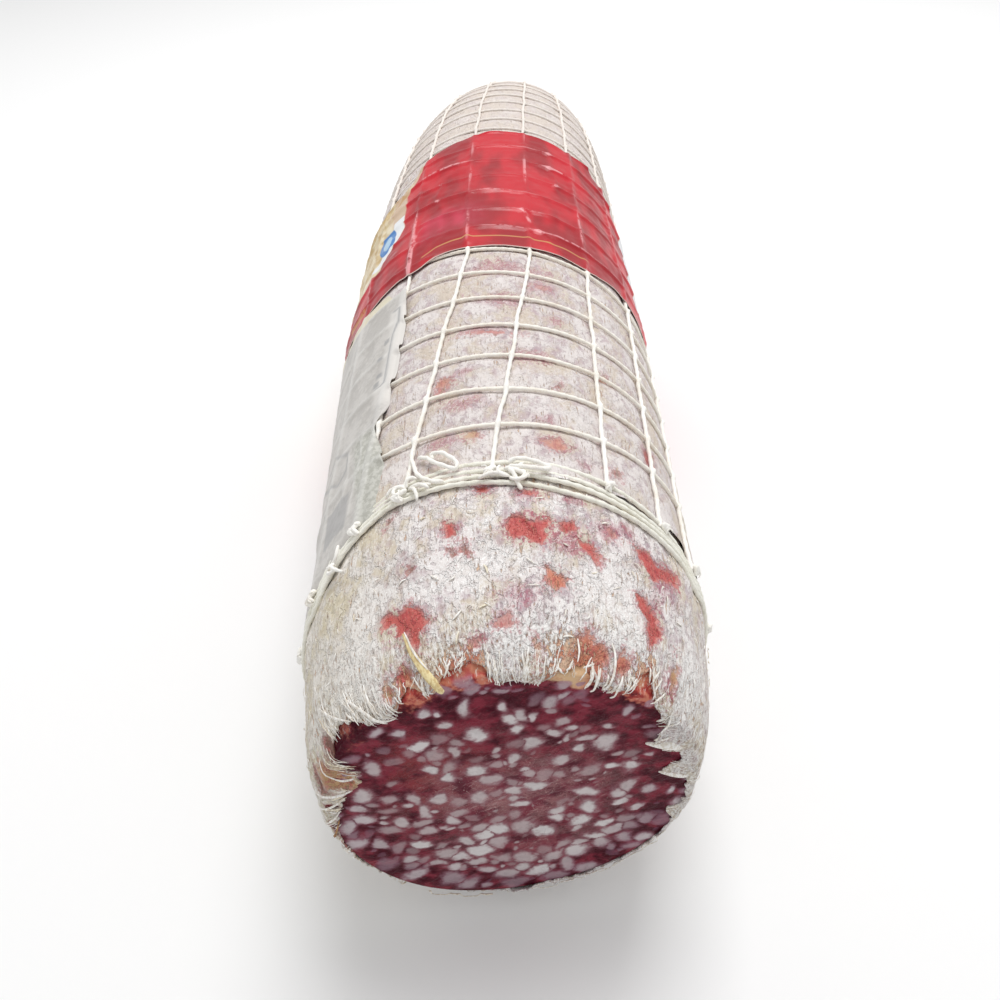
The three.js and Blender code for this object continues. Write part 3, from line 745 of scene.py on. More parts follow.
def worn_field(place, angle):
    """How far inside the nearest torn or worn spot a point lies, in millimetres, and that
    spot's colour. Noise pushes the outlines about."""
    flat = body_point(place, angle, 0)
    place = place + 0.7 * unevenness(flat, 1.9, 41) + 0.4 * unevenness(flat, 0.8, 42)
    around = half_turn(angle) * front_radius
    around = around + 0.7 * unevenness(flat, 1.9, 43) + 0.4 * unevenness(flat, 0.8, 44)
    found = [(kind, spot_distance(place, around, outline)) for kind, outline in torn_spots]
    for spot_place, degrees, half_length, half_width, turn, kind in worn_spots:
        along = place - spot_place
        across = around - np.radians(degrees) * front_radius
        cosine = np.cos(np.radians(turn))
        sine = np.sin(np.radians(turn))
        first = (along * cosine + across * sine) / half_length
        second = (across * cosine - along * sine) / half_width
        found.append((kind, (1 - np.hypot(first, second)) * min(half_length, half_width)))
    best = np.full(place.shape, -9.0)
    colour = np.empty((*place.shape, 4))
    colour[:] = spot_colours["faint"]
    for kind, depth in found:
        nearer = depth > best
        best = np.where(nearer, depth, best)
        colour[nearer] = spot_colours[kind]
    return best, colour


def soft_spots(place, angle, spots):
    """The sum of soft bells over the given spots, held below 1."""
    total = np.zeros(place.shape)
    for spot_place, degrees, half_length, half_width in spots:
        across = half_turn(angle - np.radians(degrees)) * front_radius
        total += bell((place - spot_place) / half_length, across / half_width)
    return np.minimum(total, 1)


def crack_field(place, angle):
    """The distance to the nearest crack in millimetres."""
    flat = body_point(place, angle, 0)
    wander = 0.5 * np.stack([unevenness(flat, 1.3, 45), unevenness(flat, 1.3, 46)], -1)
    here = unrolled(place, angle) + wander
    return np.minimum.reduce([line_distance(here, unrolled_stops(crack)) for crack in cracks])


def casing_finish():
    """Pale mould on a dry skin: chalky white dust in clouds and specks where it is thick,
    beige and lilac-grey where the skin shows through, flaked, with painted shadow in small
    dark pits and slits, cracked, combed into fibres towards the cut, and torn or worn to red
    meat in spots with a speckled pink halo."""
    finish = Finish("mouldy casing", {"Specular IOR Level": 0.3})
    worn, crack, net, rimward, warm, flush, snow, thinned, far = finish.attributes(
        "worn", "crack", "under_net", "rimward", "warm", "flush", "snow", "thinned", "far"
    )
    tint = finish.attribute("worn_tint", "Color")
    soft = finish.grain((8.0, 10.0, 8.0), 4, 0.6)
    mottle = finish.grain((2.2, 2.8, 2.2), 4, 0.66, 2.0)
    fleck = finish.grain((0.75, 0.85, 0.75), 3, 0.66, 4.0)
    dust = finish.grain(0.34, 2, 0.6, 5.0)
    streak = finish.grain((0.5, 5.0, 0.5), 3, 0.64, 6.0)
    flake = finish.grain((3.4, 4.4, 3.4), 4, 0.6, 8.0)
    cut = finish.grain((0.9, 2.6, 0.9), 3, 0.62, 14.0, turn=0.7)

    sore = (flush + (mottle - 0.5) * 2.4 + (fleck - 0.5) * 3.2).between(0.25, 0.85)
    sore = sore + (mottle * 0.5 + fleck * 0.5).between(0.54, 0.66) * (0.45 - 0.1 * net) * (1 - warm)
    skin = finish.layers(
        finish.blend((212, 199, 182), (182, 160, 168), (soft * 0.6 + flake * 0.4).between(0.44, 0.56)),
        ((210, 198, 168), warm * (0.6 + 0.3 * streak)),
        ((172, 96, 114), sore * 0.8),
    )
    depth = soft * 0.46 + mottle * 0.38 + fleck * 0.16 + 0.07 * snow - 0.055 * flush
    sparkle = dust.between(0.5, 0.64) * depth.between(0.46, 0.57)
    grooves = streak.between(0.46, 0.36) * (0.2 - 0.16 * net + 0.35 * rimward)
    # Painted shadow: small dark pits and slits that stand in for the shade of lifting flakes; they also
    # sink a little in the relief.
    shaded_pits = (fleck * 0.6 + mottle * 0.4).between(0.405, 0.35) * 0.6 + cut.between(0.33, 0.28)
    halo = (worn + (mottle - 0.5) * 6 + (fleck - 0.5) * 9).between(-1.4, 0.8)
    edge = (worn + (mottle - 0.5) * 2.6 + (fleck - 0.5) * 2.2).between(-0.35, 0.35)
    inner = finish.layers(
        tint,
        ((170, 54, 60), (mottle * 0.5 + streak * 0.5).between(0.48, 0.58) * 0.7),
        ((222, 134, 120), fleck.between(0.52, 0.64) * 0.35),
        ((242, 218, 210), dust.between(0.6, 0.7) * 0.35 + worn.between(1.0, 0.0) * 0.25),
    )
    bare = (thinned + (mottle - 0.5) * 2.0 - (streak - 0.5) * 3.0).between(0.35, 0.7)
    fatty = finish.blend((206, 128, 100), (222, 186, 156), mottle.between(0.42, 0.56))
    plain = finish.blend((203, 190, 186), (217, 206, 199), far)
    colour = finish.layers(
        skin,
        ((234, 228, 225), depth.between(0.44, 0.56) * 0.92),
        ((254, 253, 252), sparkle * (0.7 + 0.3 * snow) * (1 - 0.5 * net)),
        ((252, 250, 248), abs(mottle - 0.5).between(0.02, 0.0) * 0.5),
        ((252, 251, 248), streak.between(0.47, 0.6) * (0.16 - 0.1 * net + 0.66 * rimward)),
        ((170, 152, 144), grooves),
        # the painted shadow in the pits and slits
        ((138, 116, 108), shaded_pits * (0.6 - 0.25 * net)),
        ((216, 209, 186), warm * 0.26),
        ((176, 84, 98), halo * 0.62 * (1 - 0.5 * warm)),
        (inner, edge * 0.95),
        (fatty, bare * 0.9),
        ((116, 92, 86), crack.between(0.2, 0.04) * 0.6),
        (plain, net * (0.24 + 0.4 * far)),
    )
    terrace = flake.between(0.47, 0.5) * 0.18 + (mottle * 0.5 + soft * 0.5).between(0.5, 0.52) * 0.14
    height = mottle * 0.34 + dust * 0.1 + fleck * 0.18 + terrace * (1 - 0.4 * net) - shaded_pits * 0.1
    height = height + streak * (0.16 + 0.5 * rimward) - edge * 0.16 - bare * 0.2
    return finish.complete(colour, height, 0.78 - 0.3 * edge)


casing = casing_finish()


def casing_marks(place, angle):
    """The named values of the casing's finish: spots, cracks, flushes and thick mould, and
    where it is combed into fibres or yellowed."""
    worn, tint = worn_field(place, angle)
    across = np.sin(angle)
    left = smooth((-across - 0.3) / 0.6) * smooth((-60 - place) / 20)
    return {
        "worn": worn,
        "worn_tint": tint,
        "crack": crack_field(place, angle),
        "under_net": np.zeros(place.shape) + (place > bunch_place),
        "rimward": smooth((cut_place + 17 - place) / 13),
        "warm": np.maximum(left, 0.25 * smooth((across - 0.75) / 0.3)),
        "flush": soft_spots(place, angle, flushes),
        "snow": soft_spots(place, angle, snowy_spots),
        "far": smooth((place - 80) / 20),
        "thinned": np.zeros(place.shape),
    }


def make_front_casing(finish):
    """Rows run from the frayed edge to below the bunched net. At the edge the skin is
    0.45 mm thick and turns under. Lifts add folds, flakes, worn hollows and cracks."""
    columns = 800
    around = np.linspace(0, 2 * np.pi, columns, endpoint=False)[None, :]
    edge = edge_reach(around)
    t = np.linspace(0, 1, 116)[:, None] ** 1.15
    reach = edge + (bunch_place + 5 - corner_place - edge) * t
    place = corner_place + reach
    angle = around + np.zeros_like(place)
    flat = edge_point(reach, angle, 0.0 * reach)
    fade = smooth((reach - edge) / 6) * smooth((bunch_place + bunch_shift(angle) - place) / 8)
    folds = 0.34 * unevenness(flat, (7, 16, 7), 51) + 0.3 * unevenness(flat, (4, 9, 4), 52)
    flakes = 0.12 * unevenness(flat, (1.6, 2.4, 1.6), 53) + 0.07 * unevenness(flat, 0.8, 54)
    round_rim = np.stack([np.sin(angle), np.cos(angle), reach / 300], -1) * fringe_radius
    fibres = unevenness(round_rim, 0.75, 55) * (0.08 + 0.2 * smooth((9 - reach) / 8))
    marks = casing_marks(place, angle)
    from_top = np.abs(np.degrees(half_turn(angle)))
    rubbed = dryness(angle)[0] * smooth((5 - (reach - edge)) / 5) * smooth((60 - from_top) / 20)
    fatty = 0.95 * soft_spots(place, angle, [(-132.8, 15.8, 3.6, 4.0)])
    marks["thinned"] = np.maximum(rubbed, fatty)
    lift = folds * fade + flakes + fibres
    lift = lift - 0.35 * smooth((marks["worn"] + 0.3) / 0.8)
    lift = lift - 0.2 * smooth((0.6 - marks["crack"]) / 0.6)
    lift = lift - 0.4 * smooth((place - bunch_place - bunch_shift(angle) + 4.5) / 2)
    loose = np.maximum(unevenness(flat, 3.0, 56), 0) * smooth((3 - (reach - edge)) / 3)
    folded = smooth(-reach / 1.4)
    lift = lift + 0.35 * loose + folded * (0.42 + 0.5 * loose - 0.25 * flakes)
    outer = edge_point(reach, angle, lift)
    tucked = [
        edge_point(edge - 0.1, around, lift[:1] - 0.18),
        edge_point(edge + 0.02, around, lift[:1] - 0.4),
        edge_point(edge + 1.5, around, np.minimum(lift[:1] - 0.4, 0.5 * folded[:1]) - 0.3),
    ]
    points = np.concatenate([*tucked[::-1], outer])
    faces = [grid_faces(len(points), columns)]
    values = {key: np.concatenate([value[:1]] * 3 + [value]) for key, value in marks.items()}
    make_piece("casing_front", points, faces, finish, "sausage", values)


def make_netted_casing(name, places, columns, finish, pole=False):
    """Rows at the given places, pillowed between the strings. The last may close in a
    pole."""
    around = np.linspace(0, 2 * np.pi, columns, endpoint=False)[None, :]
    place = np.asarray(places)[:, None] + np.zeros_like(around)
    angle = around + np.zeros_like(place)
    flat = body_point(place, angle, 0)
    marks = casing_marks(place, angle)
    lift = (1.05 * pillow(place, angle) - 0.3) * (1 - 0.5 * marks["far"])
    lift = lift + 0.16 * unevenness(flat, (6, 9, 6), 61) + 0.07 * unevenness(flat, 1.5, 62)
    lift = lift - 0.2 * smooth((marks["worn"] + 0.3) / 0.8)
    lift = lift * smooth((end_place - place) / 6)
    points = body_point(place, angle, lift)
    rows = len(points)
    faces = [grid_faces(rows, columns)]
    values = {key: value.reshape(rows * columns, -1) for key, value in marks.items()}
    points = points.reshape(-1, 3)
    if pole:
        faces.append(fan_faces((rows - 1) * columns, columns, rows * columns, False))
        points = np.vstack([points, body_point(np.array([end_place]), np.zeros(1), 0)])
        values = {key: np.concatenate([value, value[-1:]]) for key, value in values.items()}
    make_piece(name, points, faces, finish, "sausage", values)


make_front_casing(casing)
near_places = [*np.arange(-91, 8, 0.5), *np.arange(8, 66, 3.0)]
make_netted_casing("casing_netted", near_places, 440, casing)
dome_share = np.sin(np.linspace(0, 1, 100)[1:] * np.pi / 2)
far_places = [*np.arange(63, 160, 0.85), *(160 + (end_place - 0.02 - 160) * dome_share)]
make_netted_casing("casing_far", far_places, 400, casing, pole=True)

# The fringe. Torn fibres and strips of the skin itself hang on at its frayed edge: short
# white hairs all round, longer ones over the bare rim, and one yellowed strip that curls.


def tube(path, angle, radius, sides=8, closed=False, lobes=0.0, pitch=3.2, flat=1.0, rise=0.0):
    """A tube along a path over the skin at the given angles, seen from outwards, with a rise
    along the axis. Its section is a circle, or flat across that way, and swells by
    lobes·cos(2·turn), which turns once for each pitch. Ends close in poles."""
    outwards = np.stack([np.sin(angle), np.full_like(angle, rise), np.cos(angle)], -1)
    ahead = np.roll(path, -1, 0) - np.roll(path, 1, 0) if closed else np.gradient(path, axis=0)
    ahead = ahead / np.linalg.norm(ahead, axis=1)[:, None]
    side = np.cross(outwards, ahead)
    side = side / np.linalg.norm(side, axis=1)[:, None]
    up = np.cross(ahead, side)
    steps = np.linalg.norm(np.diff(path, axis=0), axis=1)
    run = np.append(0, np.cumsum(steps))[:, None]
    turn = np.linspace(0, 2 * np.pi, sides, endpoint=False)[None, :]
    swell = 1 + lobes * np.cos(2 * turn - 2 * np.pi * run / pitch)
    reach = np.broadcast_to(radius, len(path))[:, None] * swell
    round_x = (reach * np.cos(turn))[..., None]
    round_z = (reach * np.sin(turn) * flat)[..., None]
    points = path[:, None] + round_x * side[:, None] + round_z * up[:, None]
    rows = len(path)
    points = points.reshape(-1, 3)
    faces = [grid_faces(rows, sides, looped=closed)]
    if closed:
        return points, faces
    faces.append(fan_faces(0, sides, rows * sides, True))
    faces.append(fan_faces((rows - 1) * sides, sides, rows * sides + 1, False))
    return np.vstack([points, path[0], path[-1]]), faces


def make_tubes(name, tubes, finish, node, tones=None):
    """One piece from many tubes, laid end to end, each with its own tone from 0 to 1."""
    quads = []
    fans = []
    count = 0
    for points, faces in tubes:
        for face in faces:
            (quads if face.shape[1] == 4 else fans).append(face + count)
        count += len(points)
    groups = [np.concatenate(group) for group in (quads, fans) if group]
    lengths = [len(points) for points, _ in tubes]
    values = {"tone": np.repeat(tones or [0.5] * len(tubes), lengths)}
    make_piece(name, np.concatenate([points for points, _ in tubes]), groups, finish, node, values)


# How far the way out of the rim leans towards the cut.
rimwards = -0.6

# Where fibres hang: from and to in degrees, how many, how far back they root, how far they
# reach past the edge and how they lean, in millimetres, and how white they are.
fibre_zones = [
    (-180, 180, 50, 1.6, 0.5, 0.3, 0.8), (14, 22, 4, 1.4, 2.4, 0.1, 0.92),
    (23, 36, 26, 2.2, 1.0, 0.1, 0.95), (-5, 12, 40, 4.4, 0.9, 0.0, 0.95),
    (-19, -5, 16, 1.8, 1.2, 0.2, 0.9), (-33, -22, 12, 2.6, 1.2, 0.3, 0.9),
    (-62, -34, 54, 5.0, 1.2, 0.8, 0.9), (-68, -57, 14, 4.6, 1.2, 0.6, 0.7),
    (-96, -72, 18, 2.6, 0.8, 0.8, 0.75), (34, 56, 20, 3.0, 1.4, -0.2, 0.9),
    (56, 66, 8, 2.6, 0.8, -1.0, 0.95), (78, 90, 6, 2.6, 0.8, -0.8, 0.95),
    (100, 112, 6, 2.0, 0.6, -0.6, 0.85),
]


def fibres(start, stop, count, back, past, lean, white, rng):
    """Thin hairs across the frayed edge, in clumps of four or so that draw together. Each
    starts on the skin, follows the rim towards the face and ends a little clear of it."""
    made = []
    tones = []
    clumps = rng.uniform(start, stop, count // 4 + 1)
    for index in range(count):
        clump = np.radians(clumps[index % len(clumps)])
        apart = rng.normal(0, 1.1)
        edge = float(edge_reach(np.array([clump]))[0])
        root = edge + back * rng.uniform(0.3, 1.2)
        tip = edge - past * rng.uniform(0.1, 1.0)
        t = np.linspace(0, 1, 7)
        bend = lean * (root - tip) * 0.4 + rng.normal(0, 0.35)
        sway = apart * (1 - 0.8 * t) + bend * t**1.2 + rng.normal(0, 0.1, 7)
        lift = 0.36 + 0.2 * np.sin(np.pi * t) + rng.uniform(-0.2, 0.5) * t**2
        reach = root + (tip - root) * t
        turned = clump + sway / fringe_radius
        path = edge_point(reach, turned, lift)
        width = (0.06 + 0.18 * rng.random() ** 2) * (0.2 + 0.8 * np.sin(np.pi * (0.12 + 0.8 * t)))
        made.append(tube(path, turned, width, sides=5, flat=0.6, rise=rimwards))
        tones.append(white * rng.uniform(0.75, 1.05))
    return made, tones


def fringe_finish():
    """Dry skin: white where mould covers it, straw or brown where it doesn't."""
    finish = Finish("skin fibres", {"Roughness": 0.7, "Specular IOR Level": 0.3})
    tone = finish.attribute("tone")
    fuzz = finish.grain((0.5, 1.6, 0.5), 3, 0.6)
    white = finish.blend((226, 218, 206), (252, 250, 246), fuzz.between(0.4, 0.58))
    straw = finish.blend((212, 186, 134), (242, 226, 176), fuzz.between(0.4, 0.6))
    brown = finish.blend((122, 80, 52), (196, 152, 98), fuzz.between(0.38, 0.6))
    colour = finish.layers(brown, (straw, tone.between(0.1, 0.3)), (white, tone.between(0.35, 0.75)))
    return finish.complete(colour, fuzz * 0.1)


fringe_rng = np.random.default_rng(12)
hairs = []
hair_tones = []
for zone in fibre_zones:
    zone_hairs, zone_tones = fibres(*zone, fringe_rng)
    hairs += zone_hairs
    hair_tones += zone_tones

# Strips wider than a hair, as half width, how much wider the far half is, tone and stops of
# reach, degrees and lift: the yellowed curl with a white thread on it, pointed flaps on the
# right, and loose strands over the bare rim and the left side.
strips = [
    (0.74, 0.9, 0.32, [(9.6, -26.2, 0.4), (7.6, -25, 0.8), (5.4, -23.8, 1.1), (3.2, -22.2, 1.3),
        (1.2, -20.4, 1.6), (-0.2, -18.8, 1.7), (-1.0, -17.4, 1.5)]),
    (0.2, 0.0, 0.95, [(9.8, -25.7, 0.5), (7.8, -24.4, 1.2), (5.5, -23.2, 1.5), (3.4, -21.6, 1.7),
        (1.8, -19.8, 1.9)]),
    (0.8, -0.8, 0.95, [(-2.6, 70, 0.3), (-4.4, 67, 0.7), (-6.2, 64, 0.9), (-8.4, 60.6, 0.6)]),
    (0.6, -0.8, 0.95, [(-2.6, 87, 0.3), (-4.4, 85, 0.6), (-6.4, 83, 0.7), (-8.4, 81.2, 0.5)]),
    (0.4, -0.4, 0.9, [(-1, 54, 0.3), (-2.4, 56, 0.9), (-4, 57, 1.1), (-5.4, 58.6, 0.7)]),
    (0.3, -0.6, 0.95, [(5, -48, 0.3), (2.6, -44.5, 0.8), (0.2, -41, 0.9), (-2, -38, 0.9),
        (-3.2, -35.4, 0.5)]),
    (0.26, -0.6, 0.8, [(8, -60, 0.3), (5.2, -56, 0.7), (2.6, -51.4, 0.9), (0.8, -47, 0.8)]),
    (0.28, 0.0, 0.95, [(2, -80, 0.4), (-1, -79.4, 0.9), (-3.6, -77.4, 1.4), (-6.2, -74.2, 1.2)]),
    (0.26, 0.0, 0.9, [(1.6, -68, 0.4), (-1.4, -69, 0.9), (-3.8, -68.8, 1.4), (-5.8, -67.2, 1.2)]),
    (0.22, 0.0, 0.85, [(1, -88, 0.3), (-1.6, -86, 0.8), (-3.4, -83, 1.1), (-5, -80.6, 0.7)]),
    (0.22, 0.0, 0.85, [(0.6, -97, 0.3), (-1.2, -94, 0.7), (-2.8, -91, 0.9), (-4, -88, 0.6)]),
    (0.3, 0.0, 0.1, [(0.4, -106, 0.2), (-1, -102, 0.6), (-2.2, -98, 0.8), (-3.2, -94, 0.4)]),
    (0.24, -0.4, 0.95, [(5, 27.6, 0.3), (2.8, 28.4, 0.9), (0.6, 28.6, 1.1), (-1.4, 28.2, 0.9),
        (-2.6, 28.4, 0.5)]),
    (0.18, -0.4, 0.9, [(4.6, 18, 0.3), (2.6, 18.4, 0.7), (1, 18.2, 0.7)]),
    (0.3, -0.4, 0.9, [(1.4, 22.4, 0.3), (-0.4, 22.8, 0.8), (-2.2, 22.4, 0.9), (-3.2, 22.8, 0.5)]),
    (0.28, -0.4, 0.95, [(0.8, 25, 0.4), (-0.8, 24.6, 0.9), (-2.6, 25.2, 0.8), (-3.8, 25, 0.4)]),
    (0.28, -0.4, 0.95, [(0.6, 32, 0.4), (-1, 31.6, 0.9), (-2.8, 32.4, 0.8), (-4, 32.2, 0.4)]),
]
for half_width, growth, tone, stops in strips:
    reach, degrees, lift = curve_through(stops, 6).T
    t = np.linspace(0, 1, len(reach))
    turned = np.radians(degrees)
    path = edge_point(reach, turned, lift)
    width = half_width * (1 + growth * (t - 0.5)) * np.sqrt(np.sin(np.pi * (0.04 + 0.93 * t)))
    hairs.append(tube(path, turned, width, flat=0.3, rise=rimwards))
    hair_tones.append(tone)

# Chips of the skin that stand off it, highest at their middles, over the front: short arcs
# run every way, but none lies on a worn spot.
chip_radius = 43
for _ in range(120):
    place = cut_place + 4 + 36 * fringe_rng.random()
    turned = np.radians(fringe_rng.uniform(-85, 85))
    heading = fringe_rng.uniform(0, np.pi)
    bend = fringe_rng.normal(0, 1.2)
    length = fringe_rng.uniform(1.0, 2.8)
    if worn_field(np.array([place]), np.array([turned]))[0][0] > -1.6:
        continue
    t = np.linspace(-0.5, 0.5, 9)
    way = heading + bend * t
    along = np.cumsum(np.cos(way)) * length / 9
    across = np.cumsum(np.sin(way)) * length / 9
    lift = 0.14 + 0.22 * np.cos(np.pi * t) * fringe_rng.uniform(0.4, 1.3)
    angle = turned + across / chip_radius
    path = body_point(place + along, angle, lift)
    width = fringe_rng.uniform(0.1, 0.24) * np.sqrt(np.cos(np.pi * t * 0.94))
    hairs.append(tube(path, angle, width, sides=6, flat=0.4))
    hair_tones.append(fringe_rng.uniform(0.55, 1.0))

# Loose rind along the bottom, in thin waves.
for start, stop, seed in ((-172, -150, 1), (118, 150, 2), (140, 178, 3)):
    turned = np.radians(np.linspace(start, stop, 80))
    wave = unevenness(level(turned * fringe_radius), 2.3, 130 + seed)
    path = edge_point(-1.0 - 0.7 * wave, turned, 0.6 + 0.6 * np.abs(wave))
    hairs.append(tube(path, turned, 0.2 + 0.1 * wave, sides=6, flat=0.5, rise=rimwards))
    hair_tones.append(0.5 + 0.1 * seed)
make_tubes("fringe", hairs, fringe_finish(), "sausage", hair_tones)

# The net. White elastic cord: lengthwise strings that are knotted to finer rings, all put
# on over the sausage like a stocking. Its near end is a bunch of four rings under knots.
cord_lift = 0.62
string_radius = 45
ring_radius = 46


def cord(path, angle, radius, pitch=2.6, sides=8, closed=False, rise=0.0):
    """A two-ply cord along a path that runs over the skin at the given angles."""
    return tube(path, angle, radius, sides, closed, lobes=0.13, pitch=pitch, rise=rise)


def net_finish(name, pale, warm):
    """Washed cord: off-white and fuzzy, a little darker in soft patches."""
    finish = Finish(name, {"Roughness": 0.85, "Specular IOR Level": 0.25})
    fuzz = finish.grain(0.35, 3, 0.6)
    soft = finish.grain(9.0, 2, 0.5, 3.0)
    colour = finish.blend(warm, pale, (fuzz * 0.5 + soft * 0.5).between(0.36, 0.56))
    return finish.complete(colour, fuzz * 0.1)


white_cord = net_finish("white cord", (253, 251, 246), (242, 236, 225))
dusty_cord = net_finish("dusty cord", (240, 233, 226), (231, 223, 216))
cream_cord = net_finish("cream elastic", (253, 249, 240), (243, 234, 219))


def lengthwise_cord(index, start, stop, step):
    """A string from place to place: it wanders a little sideways, and swells at every ring."""
    place = np.arange(start, stop, step)
    kink = 0.3 * unevenness(level(place), 6.4, 70 + index)
    angle = string_angle(np.full(place.shape, float(index)), place) + kink / string_radius
    knot = bell(ring_gap(place) / 0.95)
    slim = np.clip(radius_at(place) / 24, 0.3, 1)
    path = body_point(place, angle, cord_lift - 0.35 * smooth((place - 80) / 20) + 0.3 * knot * slim)
    return cord(path, angle, (0.5 + 0.26 * knot) * slim, pitch=3.4)


def ring_cords(start, stop, radius, segments, lift=0.55):
    """The rings from place to place, each a little uneven along its way."""
    made = []
    angle = np.linspace(0, 2 * np.pi, segments, endpoint=False)
    for ring_place in ring_places:
        if start < ring_place < stop:
            spot = np.stack([np.sin(angle), np.cos(angle), np.full_like(angle, ring_place)], -1)
            spot = spot * ring_radius
            path = body_point(ring_place + 0.3 * unevenness(spot, 9, 81), angle, lift)
            made.append(cord(path, angle, radius, pitch=2.4, sides=7, closed=True))
    return made


string_starts = bunch_place - 0.3 + bunch_shift(string_angle(np.arange(strings), bunch_place))
near_strings = [lengthwise_cord(index, start, 62, 0.62) for index, start in enumerate(string_starts)]
far_strings = [lengthwise_cord(index, 61.6, end_place - 6, 0.75) for index in range(strings)]
near_rings = ring_cords(-80, 5, 0.48, 420) + ring_cords(5, 60, 0.48, 150)
far_rings = ring_cords(60, 160, 0.44, 420, 0.22) + ring_cords(160, 212, 0.38, 240, 0.2)
make_tubes("strings_near", near_strings, white_cord, "net")
make_tubes("strings_far", far_strings, dusty_cord, "net")
make_tubes("rings_near", near_rings, cream_cord, "net")
make_tubes("rings_far", far_rings, dusty_cord, "net")

# The bunch: four rings gathered where the net ends. Each is given as degrees and places.
bunch_lines = [
    [(-64, -105), (-56, -100), (-46, -95.5), (-31, -91.6), (-13, -91.5), (5, -93.2), (19, -95.2),
        (38, -97.2), (56, -100.2), (72, -109)],
    [(-64, -103.5), (-56, -98.6), (-46, -94.2), (-31, -90.4), (-13, -90.3), (7, -90.5), (23, -92.5),
        (40, -95.8), (56, -98.2), (72, -107.4)],
    [(-64, -102), (-56, -97.4), (-46, -92.8), (-31, -89.2), (-16, -88.5), (2, -89), (20, -90.2),
        (37, -93.6), (56, -97), (72, -106)],
    [(-64, -100.6), (-56, -96), (-46, -91.4), (-31, -87.9), (-10, -86.5), (14, -87), (27, -88.6),
        (44, -91.6), (56, -95.4), (72, -104.6)],
]


def bunch_cord(stops, order):
    """A ring of the bunch: through its stops in front, and round the back at its own
    distance from the bunch's middle line."""
    degrees, places = np.transpose(stops)
    angle = np.linspace(-np.pi, np.pi, 560, endpoint=False)
    middle = bunch_place + bunch_shift(angle) - 2.6 + 1.5 * order
    wiggle = 0.35 * unevenness(level(angle * ring_radius), 5, 90 + order)
    front = np.interp(np.degrees(angle), degrees, places)
    weight = smooth((72 - np.abs(np.degrees(angle) - 2)) / 14)
    place = front * weight + (middle + wiggle) * (1 - weight)
    path = body_point(place, angle, 0.46 + 0.14 * wiggle)
    for _ in range(5):
        path = (np.roll(path, 1, 0) + path * 2 + np.roll(path, -1, 0)) / 4
    return cord(path, angle, 0.52, closed=True)


bunch = [bunch_cord(stops, order) for order, stops in enumerate(bunch_lines)]
bunch_finish = net_finish("bunch cord", (248, 246, 236), (228, 225, 208))
make_tubes("bunch", bunch, bunch_finish, "net")


def small_cord(stops, radius, steps=8):
    """A short length of cord through stops, each a place, degrees and a lift."""
    place, degrees, lift = curve_through(stops, steps).T
    angle = np.radians(degrees)
    path = body_point(place, angle, lift)
    from_start = np.arange(len(path))
    taper = np.minimum(1, 0.55 + np.minimum(from_start, from_start[::-1]) * 0.15)
    return cord(path, angle, radius * taper)


def knot_cords(index):
    """A knot where a string turns back over the bunch: a lump of four tight turns about
    3 mm long with short frayed ends, placed by the string's angle."""
    rng = np.random.default_rng(200 + index)
    angle = string_angle(index, bunch_place)
    middle = bunch_place + bunch_shift(angle) + rng.uniform(-1.2, 0.8)
    turns = []
    for _ in range(4):
        lean = rng.uniform(-0.9, 0.9)
        size = rng.uniform(0.9, 1.6)
        start = (size, lean, 0.9)
        over = (size * 0.4, 0.8 + lean * 0.3, 1.7)
        back = (-size * 0.4, -0.6 - lean, 1.9)
        turns.append((0.46, [start, over, back, (-size, 0.5 - lean * 0.4, 0.9)]))
    for _ in range(4):
        tail = rng.uniform(-1.9, 1.9)
        reach = rng.uniform(-2.2, 1.6)
        tip = (reach, tail, rng.uniform(1.2, 2.3))
        turns.append((0.15, [(0, 0, 1.5), (reach * 0.6, tail * 0.5, 2.1), tip]))
    made = []
    for radius, stops in turns:
        along, across, lift = np.transpose(stops)
        degrees = np.degrees(angle) + across * (180 / np.pi / bunch_radius)
        made.append(small_cord(np.stack([middle + along, degrees, lift], -1), radius, 6))
    return made


knots = [knot for index in [*range(3, 16), 0, 1, 2, 16] for knot in knot_cords(index)]

# Loose ends of the two strings on top: a flat loop with a tail on the right of the middle,
# and an open loop with a tuft beside it on the left.
loose_ends = [
    [(-88, 2, 1.6), (-87.4, 4, 2.2), (-88, 7.5, 2.4), (-89, 11, 2.2), (-89.9, 12, 2), (-90.3, 8, 2.3),
        (-90, 4, 2.4), (-89.4, 2, 1.8)],
    [(-90.4, 2, 2), (-91.8, 3, 2.2), (-93.8, 4, 1.4), (-95.6, 5, 0.8)],
    [(-89.5, 1, 1.4), (-90.8, 3.4, 2.2), (-92, 6, 1.8), (-91.4, 7, 1.2)],
    [(-77, -24, 0.7), (-80, -24.2, 1), (-83.5, -23, 1.2), (-86, -22, 1.6), (-87.6, -20.8, 1.8),
        (-88.8, -19.6, 1.8), (-90.2, -17, 1.5), (-90.4, -14.6, 1)],
    [(-81, -22, 1.2), (-83, -19, 2), (-85.2, -17, 2.4), (-87.2, -14, 2.3), (-88.2, -11.4, 1.8),
        (-86.6, -11, 2), (-84.6, -13, 2.4), (-83, -15, 2.4), (-82.4, -17.6, 2), (-83.6, -17.4, 1.6)],
]
knots += [small_cord(stops, 0.46) for stops in loose_ends]


def tuft(place, degrees, count, seed):
    """Curls of loose cord that start together: each runs 3 to 7 mm on a bending way."""
    rng = np.random.default_rng(seed)
    made = []
    for _ in range(count):
        t = np.linspace(0, 1, 12)
        way = rng.uniform(0, 2 * np.pi) + rng.uniform(-4.5, 4.5) * t
        length = rng.uniform(3, 7)
        along = place + np.cumsum(np.cos(way)) * length / 12
        angle = np.radians(degrees) + np.cumsum(np.sin(way)) * length / 12 / bunch_radius
        path = body_point(along, angle, 1.3 + 0.9 * np.sin(np.pi * t * rng.uniform(0.6, 1.0)))
        made.append(cord(path, angle, 0.3 + 0.1 * np.sin(np.pi * t), pitch=2.2))
    return made


